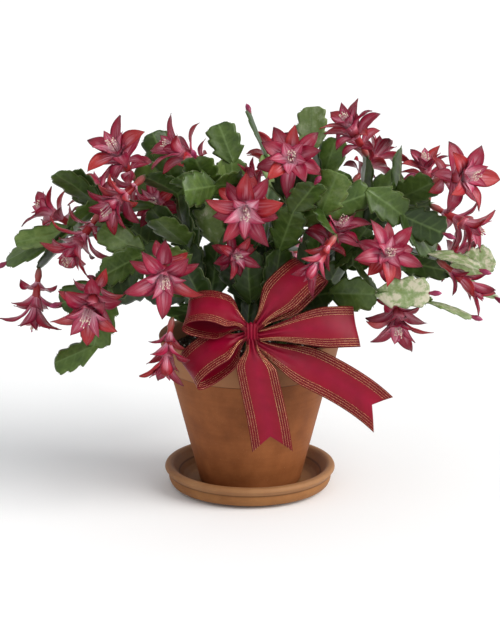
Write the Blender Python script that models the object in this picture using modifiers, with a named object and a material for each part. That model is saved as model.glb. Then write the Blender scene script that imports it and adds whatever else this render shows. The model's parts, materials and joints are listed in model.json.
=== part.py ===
# Christmas cactus in full flower, planted in a clay pot that stands on its saucer.
# A satin ribbon bow on a wooden pick is pushed into the soil at the front of the pot.
# Metres, +Z up. The origin is the centre of the saucer's flat underside. -Y is the front.

import math
import random

import bmesh
import bpy
from mathutils import Matrix
from mathutils import Vector
from mathutils.bvhtree import BVHTree

MM = 0.001
GAP = 0.3 * MM                  # clearance between pieces that rest on one another
UP = Vector((0.0, 0.0, 1.0))
TURN_STEPS = 28                 # sides of the pot, the saucer and the soil

# Saucer
SAUCER_RADIUS = 83 * MM
SAUCER_HEIGHT = 23 * MM
SAUCER_FLOOR = 6 * MM
SAUCER_FOOT_RADIUS = 66 * MM
SAUCER_WELL_RADIUS = 60 * MM    # the flat floor inside
SAUCER_WALL = 8.5 * MM

# Pot, a cone frustum with a plain band at the rim
POT_FOOT_Z = SAUCER_FLOOR + GAP
POT_HEIGHT = 146 * MM
POT_FOOT_RADIUS = 48.5 * MM
POT_RIM_RADIUS = 88 * MM
POT_BAND_HEIGHT = 31 * MM
POT_BAND_STEP = 1.0 * MM
POT_WALL = 6.5 * MM
POT_FLOOR = 10 * MM
DRAIN_RADIUS = 9 * MM
POT_TOP_Z = POT_FOOT_Z + POT_HEIGHT
POT_SLOPE = (POT_RIM_RADIUS - POT_BAND_STEP - POT_FOOT_RADIUS) / POT_HEIGHT

# Soil
SOIL_BELOW_RIM = 15 * MM
SOIL_MOUND = 3 * MM
SOIL_LEVEL_SHARE = 0.72         # the part of the soil's radius that is level
HOLE_ABOVE_SOIL = 5 * MM        # how far the hole cutters stand out of the soil
PICK_HOLE_LENGTH = 60 * MM
SOIL_TOP_Z = POT_TOP_Z - SOIL_BELOW_RIM + SOIL_MOUND

# Bow on its pick
RIBBON_WIDTH = 38 * MM
RIBBON_THICKNESS = 1.0 * MM
RIBBON_GATHERED = 11 * MM       # width where the ribbon is pinched at the knot
KNOT_CENTRE = Vector((1, -90, 178)) * MM
KNOT_RADIUS = 6.5 * MM
KNOT_HEIGHT = 20 * MM
KNOT_DEPTH_SCALE = 0.8
KNOT_SIDES = 12
LOOP_START = 0.035              # share of a loop's turn that the knot hides at either end
LOOP_APART = 1.1 * MM           # half the gap between a loop's two ends at the knot
PICK_RADIUS = 1.5 * MM
PICK_FOOT = Vector((1, -42, 100)) * MM
PICK_AIM = KNOT_CENTRE + Vector((0, 0, 4)) * MM
PICK_SHORT = 13.4 * MM          # how far short of its aim the pick ends, behind the knot

# Plant
STEM_COUNT = 15
ROOT_SPREAD = 46 * MM
PEG_RADIUS = 3.2 * MM
PEG_SIDES = 6
PEG_DEPTH = 14 * MM
PEG_ABOVE_SOIL = 8 * MM
PAD_LENGTH = 53 * MM
PAD_WIDTH = 31 * MM
PAD_THICKNESS = 3.4 * MM
PAD_SINK = 6 * MM               # how far a pad's root is sunk in the one that carries it
PAD_ROOT_SHARE = 0.3            # the part of a pad where it may touch others on its joint
PAD_LIMIT = 147
FAR_OUT = 180 * MM              # what ends this far out or more leaves from an outermost root
TIP_GAP = 0.35 * MM             # between the tip of a pad and the bloom it carries
DEPTH_WEIGHT = 0.35             # how much depth counts when the crown's thin places are sought
PAD_CLEARANCE = 0.7 * MM
BLOOM_CLEARANCE = 0.6 * MM
TUBE_LENGTH = 36 * MM           # from the pad to the bloom's throat
BUD_LENGTH = 11 * MM
BUD_RADIUS = 2.6 * MM
BUD_SINK = 3 * MM
BUD_LIMIT = 14
BLOOM_VIEW = 27 * MM            # no pad stands this near before a bloom, seen from the front
VIEW_TILT = math.radians(15)
SEED = 82

# Half of a pad's toothed outline: share of the length, and of the width
PAD_OUTLINE = ((0.37, 0.46), (0.45, 0.39), (0.74, 0.50), (1.0, 0.28))
PAD_RIBS = (0.24, 0.84)

# Petal tiers: height on the tube, count, length, width, angle at the base and at the tip
PETAL_TIERS = (
    (15 * MM, 4, 27 * MM, 11.5 * MM, 58, 112),
    (25 * MM, 5, 36 * MM, 14.2 * MM, 48, 92),
    (35 * MM, 5, 40 * MM, 14.6 * MM, 38, 74),
)
TUBE_STATIONS = ((0.0, 0.0), (8 * MM, 3.4 * MM), (34 * MM, 5.6 * MM), (38 * MM, 0.0))
TUBE_TURN = math.radians(29)    # keeps the tube's edges off the middles of the petals
HEART = 10 * MM                 # the point that a bloom is placed by lies this far past its throat

# Blooms that are placed by hand: name, throat (mm), facing, openness, size
FRONT_BLOOMS = (
    ("crown_left", (-127, -5, 334), (-0.35, -0.55, 0.75), 1.0, 1.0),
    ("top_left", (-71, -52, 344), (-0.85, -0.20, 0.48), 0.8, 1.0),
    ("top_front", (37, -95, 343), (-0.05, -0.93, 0.36), 1.0, 1.05),
    ("top_right", (91, -10, 360), (-0.45, -0.35, 0.82), 0.9, 0.95),
    ("centre", (-4, -125, 299), (0.00, -0.98, -0.12), 1.0, 1.1),
    ("front_left", (-77, -122, 236), (0.10, -0.95, -0.28), 1.0, 1.05),
    ("left_nodding", (-166, -50, 244), (-0.55, -0.45, -0.70), 0.9, 1.05),
    ("left_upper", (-128, -62, 290), (-0.65, -0.55, -0.50), 0.9, 1.0),
    ("left_open", (-147, -112, 202), (-0.20, -0.85, -0.48), 1.0, 1.1),
    ("far_left_hanging", (-205, -20, 174), (-0.10, -0.30, -0.95), 0.9, 1.0),
    ("low_left_half_open", (-78, -110, 153), (-0.15, -0.45, -0.88), 0.6, 0.95),
    ("behind_bow", (-12, -52, 241), (0.30, -0.80, 0.10), 0.8, 0.8),
    ("above_bow_half_open", (56, -132, 248), (-0.50, -0.60, -0.60), 0.35, 0.9),
    ("right_of_centre", (83, -66, 274), (0.40, -0.50, 0.77), 0.9, 0.95),
    ("front_right", (126, -100, 256), (0.20, -0.90, 0.35), 1.0, 0.93),
    ("right_open", (200, -72, 321), (0.60, -0.75, 0.25), 1.0, 1.05),
    ("right_side", (210, -18, 260), (0.85, -0.35, -0.40), 0.8, 1.0),
    ("right_half_open", (209, -60, 212), (0.80, -0.20, -0.58), 0.35, 0.95),
    ("low_right_hanging", (138, -62, 176), (-0.05, -0.72, -0.68), 0.95, 1.05),
    ("narrow_top", (2, -66, 319), (-0.40, -0.40, 0.82), 0.1, 0.8),
    ("far_left_upper", (-196, 20, 271), (-0.80, -0.10, 0.55), 0.8, 0.9),
    ("right_crown", (168, 34, 312), (-0.10, -0.20, 0.95), 0.9, 0.9),
    ("left_inner", (-90, 4, 280), (-0.20, -0.85, 0.40), 0.9, 0.85),
)
BACK_BLOOMS = 7
BACK_FIRST_TURN = 14            # degrees, of the first bloom on the back half
BACK_TURN = 62.0                # degrees between one and the next, folded into the back half
CROWN_CENTRE = Vector((0, 5, 215)) * MM
CROWN_REACH = Vector((222, 165, 140)) * MM

# Bare shoot tips that are placed by hand (mm), each with the way it points
BARE_TIPS = (
    ((-232, 0, 222), (-0.9, 0.0, -0.3)),
    ((-222, -12, 244), (-0.95, -0.2, 0.1)),
    ((-184, 5, 308), (-0.35, 0.0, 0.9)),
    ((-30, 0, 356), (0.1, -0.1, 1.0)),
    ((0, 25, 362), (-0.1, 0.1, 1.0)),
    ((140, -22, 338), (0.5, -0.2, 0.8)),
    ((232, -30, 195), (0.4, 0.0, -0.9)),
    ((-146, -62, 156), (-0.1, -0.2, -0.95)),
    ((72, -70, 312), (0.2, -0.4, 0.9)),
    ((110, -64, 304), (0.5, -0.4, 0.6)),
    ((-66, -82, 322), (-0.2, -0.5, 0.8)),
    ((-34, -84, 314), (0.1, -0.5, 0.9)),
    ((119, -92, 216), (0.3, -0.7, -0.6)),
    ((166, -66, 200), (0.5, -0.5, -0.7)),
    ((168, -58, 244), (0.9, -0.3, 0.1)),
    ((40, -78, 290), (0.2, -0.8, 0.3)),
    ((60, 60, 362), (0.3, 0.3, 0.9)),
    ((-95, 70, 335), (-0.4, 0.4, 0.8)),
)

# Materials: colour, roughness
SAUCER_CLAY = ((0.50, 0.20, 0.07), 0.8)
POT_CLAY = ((0.33, 0.12, 0.045), 0.85)
POTTING_SOIL = ((0.045, 0.028, 0.018), 0.95)
PICK_WOOD = ((0.45, 0.30, 0.16), 0.7)
SATIN = ((0.42, 0.012, 0.05), 0.35)
CACTUS_GREEN = ((0.045, 0.13, 0.03), 0.45)
PETAL_CRIMSON = ((0.48, 0.012, 0.05), 0.4)


# ---- Scene and materials

def clear_scene():
    for item in list(bpy.data.objects):
        bpy.data.objects.remove(item, do_unlink=True)


def new_collection(name):
    collection = bpy.data.collections.new(name)
    bpy.context.scene.collection.children.link(collection)
    return collection


def plain_material(name, look):
    colour, roughness = look
    made = bpy.data.materials.new(name)
    made.use_nodes = True
    shader = made.node_tree.nodes["Principled BSDF"]
    shader.inputs["Base Color"].default_value = (*colour, 1.0)
    shader.inputs["Roughness"].default_value = roughness
    shader.inputs["Metallic"].default_value = 0.0
    return made


# ---- Making meshes and objects

def mesh_from(name, points, faces):
    mesh = bpy.data.meshes.new(name)
    mesh.from_pydata([tuple(point) for point in points], [], faces)
    mesh.update()
    return mesh


def place(name, mesh, collection, look=None):
    made = bpy.data.objects.new(name, mesh)
    collection.objects.link(made)
    if look:
        mesh.materials.append(look)
    return made


def evaluated_mesh(item):
    graph = bpy.context.evaluated_depsgraph_get()
    return bpy.data.meshes.new_from_object(item.evaluated_get(graph))


def applied(item):
    """Replace an object's mesh by what its modifiers make of it."""
    baked = evaluated_mesh(item)
    item.modifiers.clear()
    item.data = baked
    return item


def turned(name, profile, collection, look, steps=TURN_STEPS, closed=False):
    """A solid of revolution, from (radius, height) points that run down its outer side."""
    points = [(radius, 0.0, height) for radius, height in profile]
    edges = [(index, index + 1) for index in range(len(points) - 1)]
    if closed:
        edges.append((len(points) - 1, 0))
    mesh = bpy.data.meshes.new(name)
    mesh.from_pydata(points, edges, [])
    made = place(name, mesh, collection, look)
    screw = made.modifiers.new("turn", "SCREW")
    screw.steps = steps
    screw.render_steps = steps
    screw.use_merge_vertices = True
    screw.merge_threshold = 0.00005
    applied(made)
    made.data.shade_smooth()
    made.data.set_sharp_from_angle(angle=math.radians(35))
    return made


def rod(name, start, end, radius, sides, collection, look=None):
    """A straight round bar between two points."""
    run = end - start
    mesh = bpy.data.meshes.new(name)
    shape = bmesh.new()
    bmesh.ops.create_cone(shape, cap_ends=True, segments=sides, radius1=radius,
                          radius2=radius, depth=run.length)
    shape.to_mesh(mesh)
    shape.free()
    made = place(name, mesh, collection, look)
    turn = UP.rotation_difference(run).to_matrix().to_4x4()
    made.matrix_world = Matrix.Translation((start + end) / 2) @ turn
    return made


def fused(name, pieces, scratch, collection, look):
    """One solid from loose closed pieces, by one Boolean union on their collection."""
    core = pieces[0]
    for piece in pieces[1:]:
        scratch.objects.link(piece)
        collection.objects.unlink(piece)
    union = core.modifiers.new("join", "BOOLEAN")
    union.operation = "UNION"
    union.operand_type = "COLLECTION"
    union.collection = scratch
    union.solver = "EXACT"
    bpy.context.view_layer.update()
    applied(core)
    for piece in list(scratch.objects):
        bpy.data.objects.remove(piece, do_unlink=True)
    tidy(core.data)
    core.name = name
    core.data.name = name
    core.data.materials.clear()
    core.data.materials.append(look)
    return core


def tidy(mesh):
    """Weld the slivers that a union leaves, and keep only the main body."""
    shape = bmesh.new()
    shape.from_mesh(mesh)
    bmesh.ops.remove_doubles(shape, verts=shape.verts, dist=0.001 * MM)
    bmesh.ops.dissolve_degenerate(shape, edges=shape.edges, dist=0.001 * MM)
    bmesh.ops.triangulate(shape, faces=shape.faces)
    drop_scraps(shape)
    shape.to_mesh(mesh)
    shape.free()


def drop_scraps(shape):
    """Remove every loose body except the largest."""
    bodies = []
    waiting = set(shape.verts)
    while waiting:
        body = {waiting.pop()}
        edge_of_body = list(body)
        while edge_of_body:
            corner = edge_of_body.pop()
            for edge in corner.link_edges:
                other = edge.other_vert(corner)
                if other not in body:
                    body.add(other)
                    waiting.discard(other)
                    edge_of_body.append(other)
        bodies.append(body)
    bodies.sort(key=len)
    for scrap in bodies[:-1]:
        bmesh.ops.delete(shape, geom=list(scrap), context="VERTS")


# ---- Saucer, pot and soil

def saucer(collection, look):
    radius = SAUCER_RADIUS
    rim = SAUCER_HEIGHT
    inner = radius - SAUCER_WALL
    profile = (
        (0.0, SAUCER_FLOOR),
        (SAUCER_WELL_RADIUS, SAUCER_FLOOR),
        (SAUCER_WELL_RADIUS + 5 * MM, SAUCER_FLOOR + 3 * MM),
        (inner, rim - 1.5 * MM),
        (inner + 3 * MM, rim),
        (radius - 1.5 * MM, rim - 1 * MM),
        (radius, rim - 4 * MM),
        (radius - 5 * MM, rim - 9.5 * MM),
        (radius - 4 * MM, rim - 13.5 * MM),
        (radius - 6.5 * MM, rim - 19 * MM),
        (SAUCER_FOOT_RADIUS, 0.0),
        (0.0, 0.0),
    )
    return turned("saucer", profile, collection, look)


def pot_radius(height):
    """Outer radius of the pot's body at a height above the saucer's underside."""
    return POT_FOOT_RADIUS + POT_SLOPE * (height - POT_FOOT_Z)


def pot(collection, look):
    band_z = POT_TOP_Z - POT_BAND_HEIGHT
    floor_z = POT_FOOT_Z + POT_FLOOR
    rim = pot_radius(POT_TOP_Z) + POT_BAND_STEP
    profile = (
        (rim - 1.5 * MM, POT_TOP_Z),
        (rim, POT_TOP_Z - 1.5 * MM),
        (pot_radius(band_z) + POT_BAND_STEP, band_z),
        (pot_radius(band_z) - 0.4 * MM, band_z - 1.2 * MM),
        (pot_radius(POT_FOOT_Z + 2 * MM), POT_FOOT_Z + 2 * MM),
        (POT_FOOT_RADIUS - 1.5 * MM, POT_FOOT_Z),
        (DRAIN_RADIUS, POT_FOOT_Z),
        (DRAIN_RADIUS, floor_z),
        (pot_radius(floor_z) - POT_WALL, floor_z),
        (pot_radius(POT_TOP_Z) - POT_WALL, POT_TOP_Z - 1 * MM),
        (pot_radius(POT_TOP_Z) - POT_WALL + 1 * MM, POT_TOP_Z),
    )
    return turned("pot", profile, collection, look, closed=True)


def soil_edge_radius(height):
    return pot_radius(height) - POT_WALL - GAP


def soil(roots, collection, cutters, look):
    edge_z = POT_TOP_Z - SOIL_BELOW_RIM
    floor_z = POT_FOOT_Z + POT_FLOOR + GAP
    profile = (
        (0.0, SOIL_TOP_Z),
        (SOIL_LEVEL_SHARE * soil_edge_radius(edge_z), SOIL_TOP_Z),
        (soil_edge_radius(edge_z), edge_z),
        (soil_edge_radius(floor_z), floor_z),
        (0.0, floor_z),
    )
    body = turned("soil", profile, collection, look)
    for index, root in enumerate(roots):
        top = Vector((root.x, root.y, SOIL_TOP_Z + HOLE_ABOVE_SOIL))
        foot = Vector((root.x, root.y, SOIL_TOP_Z - PEG_DEPTH - GAP))
        cut(body, rod(f"root_hole_{index}", foot, top, PEG_RADIUS + GAP, PEG_SIDES, cutters))
    along = (PICK_AIM - PICK_FOOT).normalized()
    hole_foot = PICK_FOOT - along * GAP
    hole_top = PICK_FOOT + along * PICK_HOLE_LENGTH
    cut(body, rod("pick_hole", hole_foot, hole_top, PICK_RADIUS + GAP, PEG_SIDES, cutters))
    return body


def cut(body, cutter):
    cutter.hide_render = True
    cutter.display_type = "WIRE"
    hole = body.modifiers.new(cutter.name, "BOOLEAN")
    hole.operation = "DIFFERENCE"
    hole.object = cutter
    hole.solver = "EXACT"


# ---- Bow

def smooth_step(value):
    value = min(max(value, 0.0), 1.0)
    return value * value * (3 - 2 * value)


def ribbon_width(share):
    """Pinched at the knot, and full where the share from it reaches one."""
    return RIBBON_GATHERED + (RIBBON_WIDTH - RIBBON_GATHERED) * smooth_step(share)


def ribbon(name, rows, collection, look):
    """A strip of cloth from rows of points across it, given its thickness by Solidify."""
    across = len(rows[0])
    points = [point for row in rows for point in row]
    faces = []
    for row in range(len(rows) - 1):
        for column in range(across - 1):
            corner = row * across + column
            faces.append((corner, corner + 1, corner + across + 1, corner + across))
    made = place(name, mesh_from(name, points, faces), collection, look)
    cloth = made.modifiers.new("cloth", "SOLIDIFY")
    cloth.thickness = RIBBON_THICKNESS
    cloth.offset = 0.0
    applied(made)
    shape = bmesh.new()
    shape.from_mesh(made.data)
    bmesh.ops.triangulate(shape, faces=shape.faces)
    shape.to_mesh(made.data)
    shape.free()
    made.data.shade_smooth()
    made.data.set_sharp_from_angle(angle=math.radians(40))
    return made


def loop_rows(side, reach, across, length, height, sag, widening, steps=12):
    """A loop that leaves the knot and comes back to it. reach is the way it goes, across the
    way its width lies, and sag how far its end is bent down."""
    reach = Vector(reach).normalized()
    across = Vector(across)
    across = (across - reach * across.dot(reach)).normalized()
    bulge = reach.cross(across)
    if bulge.z < 0:
        bulge = -bulge
    root = KNOT_CENTRE + Vector(side) * MM
    rows = []
    for step in range(steps + 1):
        turn = 2 * math.pi * (LOOP_START + (1 - 2 * LOOP_START) * step / steps)
        out = (1 - math.cos(turn)) / 2
        centre = root + reach * length * out
        centre += bulge * height * math.sin(turn) * out ** 0.35
        centre += bulge * LOOP_APART * (1 - 2 * step / steps)
        centre += Vector((0, 0, -sag)) * out ** 2
        width = ribbon_width(out * widening)
        half = across * width / 2
        rows.append((centre - half, centre + half))
    return rows


def bezier(corners, share):
    """Point on a cubic curve through the first and the last of its four corners."""
    rest = 1 - share
    weights = (rest ** 3, 3 * rest ** 2 * share, 3 * rest * share ** 2, share ** 3)
    return sum((corner * weight for corner, weight in zip(corners, weights)), Vector())


def tail_rows(corners, across_start, across_end, widening, notch, steps=9):
    """A free end that hangs from the knot, cut to a swallowtail."""
    corners = [Vector(corner) * MM for corner in corners]
    rows = []
    for step in range(steps + 1):
        share = step / steps
        centre = bezier(corners, share)
        turned_by = smooth_step(share * 1.3)
        across = Vector(across_start).lerp(Vector(across_end), turned_by).normalized()
        width = ribbon_width(share * widening)
        middle = centre
        if step == steps:
            middle = bezier(corners, 1 - notch)
        rows.append((centre - across * width / 2, middle, centre + across * width / 2))
    return rows


LOOPS = (
    # name, root beside the knot (mm), reach, across, length, height, sag, how soon it widens
    ("bow_loop_upper_left", (-7.6, 0, 7.5), (-0.90, -0.10, 0.42), (-0.10, 0.75, 0.62),
     57 * MM, 15 * MM, 10 * MM, 2.6),
    ("bow_loop_lower_left", (-9, -1, -4), (-0.80, -0.10, -0.52), (-0.55, 0.65, 0.45),
     58 * MM, 13 * MM, 2 * MM, 2.6),
    ("bow_loop_upper_right", (7.3, 0.2, 8.6), (0.62, 0.38, 0.66), (-0.72, 0.42, 0.50),
     78 * MM, 13 * MM, 9 * MM, 2.2),
    ("bow_loop_right", (6.9, 0.3, -3), (0.99, 0.08, 0.16), (-0.05, 0.30, 0.95),
     92 * MM, 13 * MM, 8 * MM, 1.35),
)

TAILS = (
    # name, curve (mm), across at the knot, across at the end, how soon it widens, notch
    ("bow_tail_centre", ((2, -95.7, 167.5), (8, -104, 130), (16, -92, 105), (21, -88, 62)),
     (0.9, 0.0, -0.1), (1.0, 0.06, 0.0), 4.5, 0.13),
    ("bow_tail_right", ((7.8, -89.1, 166.8), (34, -86, 152), (90, -92, 134), (124, -88, 98)),
     (0.45, 0.5, 0.7), (0.46, 0.1, 0.87), 2.1, 0.10),
)


def bow(collection, look):
    knot_foot = KNOT_CENTRE - UP * KNOT_HEIGHT / 2
    knot_top = knot_foot + UP * KNOT_HEIGHT
    knot = rod("bow_knot", knot_foot, knot_top, KNOT_RADIUS, KNOT_SIDES, collection, look)
    knot.data.transform(Matrix.Diagonal((1.0, KNOT_DEPTH_SCALE, 1.0, 1.0)))
    pieces = [knot]
    for name, side, reach, across, length, height, sag, widening in LOOPS:
        rows = loop_rows(side, reach, across, length, height, sag, widening)
        pieces.append(ribbon(name, rows, collection, look))
    for name, corners, across_start, across_end, widening, notch in TAILS:
        rows = tail_rows(corners, across_start, across_end, widening, notch)
        pieces.append(ribbon(name, rows, collection, look))
    return pieces


def pick(collection, look):
    along = (PICK_AIM - PICK_FOOT).normalized()
    head = PICK_AIM - along * PICK_SHORT
    made = rod("bow_pick", PICK_FOOT, head, PICK_RADIUS, PEG_SIDES, collection, look)
    made.data.shade_smooth()
    made.data.set_sharp_from_angle(angle=math.radians(50))
    return made


# ---- Pads, petals and blooms as coarse closed cages

def pad_cage(length, width, thickness, spare=0.0):
    """A toothed lens along +X with its faces to +Z and -Z. spare grows it on every side."""
    ring = [(-spare, 0.0)]
    reach = length + 2 * spare
    half = width + 2 * spare
    ring += [(share * reach - spare, -part * half) for share, part in PAD_OUTLINE]
    ring += [(share * reach - spare, part * half) for share, part in reversed(PAD_OUTLINE)]
    points = [(x, y, 0.0) for x, y in ring]
    lift = thickness / 2 + spare
    points += [(share * length, 0.0, lift) for share in PAD_RIBS]
    points += [(share * length, 0.0, -lift) for share in PAD_RIBS]
    count = len(ring)
    half_way = 0.4 * length
    faces = []
    for index in range(count):
        after = (index + 1) % count
        here = int(ring[index][0] > half_way)
        there = int(ring[after][0] > half_way)
        faces.append((index, after, count + here))
        faces.append((after, index, count + 2 + here))
        if here != there:
            faces.append((after, count + there, count + here))
            faces.append((count + 2 + there, after, count + 2 + here))
    return [Vector(point) for point in points], faces


def spindle_cage(base, tip, ring):
    """A closed kite or spindle: two end points and a ring of points between them."""
    count = len(ring)
    points = [base, tip] + list(ring)
    faces = []
    for index in range(count):
        after = (index + 1) % count
        faces.append((0, 2 + after, 2 + index))
        faces.append((1, 2 + index, 2 + after))
    return points, faces


def petal_cage(turn, height, length, width, angle_base, angle_tip, spare=0.0):
    """A pointed petal that bends at its widest place, in the frame of its bloom."""
    outward = Vector((math.cos(turn), math.sin(turn), 0.0))
    side = UP.cross(outward)
    first = UP * math.cos(angle_base) + outward * math.sin(angle_base)
    second = UP * math.cos(angle_tip) + outward * math.sin(angle_tip)
    face = side.cross(first + second).normalized()
    base = UP * (height - 4 * MM) + outward * 1.0 * MM
    bend = base + first * length * 0.48
    tip = bend + second * (length * 0.52 + spare)
    cup = face * width * 0.12
    half = width / 2 + spare
    keel = 1.5 * MM + spare
    ring = (bend + side * half - cup, bend - side * half - cup, bend + face * keel)
    return spindle_cage(base, tip, ring)


def round_spindle(stations, sides, first_turn=0.0):
    """A closed turned body along +Z from (height, radius) stations between its two ends."""
    points = [UP * stations[0][0]]
    for height, radius in stations[1:-1]:
        for index in range(sides):
            turn = first_turn + 2 * math.pi * index / sides
            points.append(Vector((radius * math.cos(turn), radius * math.sin(turn), height)))
    points.append(UP * stations[-1][0])
    last = len(points) - 1
    faces = []
    rings = len(stations) - 2
    for index in range(sides):
        after = (index + 1) % sides
        faces.append((0, 1 + after, 1 + index))
        for ring in range(rings - 1):
            low = 1 + ring * sides
            high = low + sides
            faces.append((low + index, low + after, high + after, high + index))
        top = 1 + (rings - 1) * sides
        faces.append((last, top + index, top + after))
    return points, faces


def tube_cage(size, phase, spare=0.0):
    stations = []
    for height, radius in TUBE_STATIONS:
        stations.append((height * size, radius * size + spare * (radius > 0)))
    return round_spindle(stations, 5, phase + TUBE_TURN)


def stamen_cage(size, openness, phase):
    """The bundle of stamens with the style, a slim spindle that stands out of the throat."""
    reach = (50 + 12 * openness) * MM * size
    stations = ((30 * MM * size, 0.0), (reach * 0.82, 2.2 * MM * size), (reach, 0.0))
    return round_spindle(stations, 3, phase + 2 * TUBE_TURN)


def bloom_cages(openness, size, phase, spare=0.0):
    """All the closed pieces of one bloom. Its root is at the origin and it faces +Z."""
    cages = [tube_cage(size, phase, spare)]
    for tier, (height, count, length, width, angle_base, angle_tip) in enumerate(PETAL_TIERS):
        count = max(3, round(count * (0.45 + 0.55 * openness)))
        width *= 0.5 + 0.5 * openness
        for index in range(count):
            turn = phase + 2 * math.pi * (index + 0.5 * tier) / count
            wave = math.sin(5.0 * turn + 2.0 * phase + tier)
            opened = 0.16 + 0.84 * openness + 0.05 * wave
            angles = (math.radians(angle_base) * opened, math.radians(angle_tip) * opened)
            reach = length * size * (1 + 0.06 * wave)
            cages.append(petal_cage(turn, height * size, reach, width * size, *angles, spare))
    cages.append(stamen_cage(size, openness, phase))
    return cages


def joined(cages, frame=None):
    """Points and faces of several cages in one list."""
    points = []
    faces = []
    for cage_points, cage_faces in cages:
        start = len(points)
        points += cage_points
        faces += [tuple(start + corner for corner in face) for face in cage_faces]
    if frame is not None:
        points = [frame @ point for point in points]
    return points, faces


# ---- Growing the plant: what stands where, with nothing crossing

class Crowd:
    """The solids placed so far, each kept as a search tree with its owner."""

    def __init__(self):
        self.items = []

    def tree(self, points, faces):
        middle = sum(points, Vector()) / len(points)
        radius = max((point - middle).length for point in points)
        return middle, radius, BVHTree.FromPolygons(points, faces)

    def add(self, points, faces, owner):
        self.items.append((*self.tree(points, faces), owner))

    def is_free(self, points, faces, ignored=()):
        middle, radius, tree = self.tree(points, faces)
        for other_middle, other_radius, other_tree, owner in self.items:
            if owner in ignored:
                continue
            if (middle - other_middle).length > radius + other_radius:
                continue
            if tree.overlap(other_tree):
                return False
        return True


def frame_along(origin, axis, normal):
    """A placement with +X along the axis and +Z as near to the normal as it can be."""
    axis = axis.normalized()
    normal = (normal - axis * normal.dot(axis)).normalized()
    side = normal.cross(axis)
    frame = Matrix((axis, side, normal)).transposed().to_4x4()
    frame.translation = origin
    return frame


def bloom_frame(throat, facing, size):
    facing = facing.normalized()
    frame = UP.rotation_difference(facing).to_matrix().to_4x4()
    frame.translation = throat - facing * (TUBE_LENGTH + HEART) * size
    return frame


def outward_at(point):
    away = Vector((point.x, point.y, 0.0))
    if away.length < 1 * MM:
        return Vector((0.0, -1.0, 0.0))
    return away.normalized()


def shown_side(point):
    """Toward the front for what grows at the front, and toward the back for the rest."""
    return Vector((0.0, -1.0 if point.y < 25 * MM else 1.0, 0.0))


def root_places():
    """Where the stems stand in the soil: a sunflower spiral inside the pot."""
    golden = math.radians(137.508)
    places = []
    for index in range(STEM_COUNT):
        radius = ROOT_SPREAD * math.sqrt((index + 0.5) / STEM_COUNT)
        turn = golden * index + 0.4
        places.append(Vector((radius * math.cos(turn), radius * math.sin(turn), SOIL_TOP_Z)))
    return places


class Pad:
    def __init__(self, stem, frame, length, width, parent):
        self.stem = stem
        self.frame = frame
        self.length = length
        self.width = width
        self.parent = parent
        self.children = 0
        self.has_bloom = False
        self.has_bud = False

    def axis(self):
        return self.frame.col[0].to_3d()

    def normal(self):
        return self.frame.col[2].to_3d()

    def tip(self):
        return self.frame @ Vector((self.length, 0.0, 0.0))

    def cage(self, spare=0.0):
        return joined([pad_cage(self.length, self.width, PAD_THICKNESS, spare)], self.frame)

    def outer_tree(self, spare=0.0):
        """The pad without its root, to keep pads that share a joint apart."""
        free = self.length * (1 - PAD_ROOT_SHARE)
        points, faces = pad_cage(free, self.width, PAD_THICKNESS, spare)
        shift = self.frame @ Matrix.Translation((self.length * PAD_ROOT_SHARE, 0, 0))
        return BVHTree.FromPolygons([shift @ point for point in points], faces)


class Bloom:
    def __init__(self, name, throat, facing, openness, size, phase):
        self.name = name
        self.facing = facing.normalized()
        self.frame = bloom_frame(throat, facing, size)
        self.openness = openness
        self.size = size
        self.phase = phase

    def root(self):
        return self.frame.translation

    def heart(self):
        return self.frame @ Vector((0.0, 0.0, (TUBE_LENGTH + HEART) * self.size))

    def cage(self, spare=0.0):
        return joined(bloom_cages(self.openness, self.size, self.phase, spare), self.frame)


def bud_cage(frame, length, spare=0.0):
    """A small round bud at a pad's tip, in the frame of its pad."""
    middle = (0.5 * BUD_LENGTH, BUD_RADIUS + spare)
    points, faces = round_spindle(((-BUD_SINK, 0.0), middle, (BUD_LENGTH + spare, 0.0)), 4)
    tip = frame @ Matrix.Translation((length, 0, 0)) @ Matrix.Rotation(math.pi / 2, 4, "Y")
    return [tip @ point for point in points], faces


def seen_place(point):
    """Where a point appears from the front and a little above: across and up."""
    return Vector((point.x, point.z * math.cos(VIEW_TILT) + point.y * math.sin(VIEW_TILT)))


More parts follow.
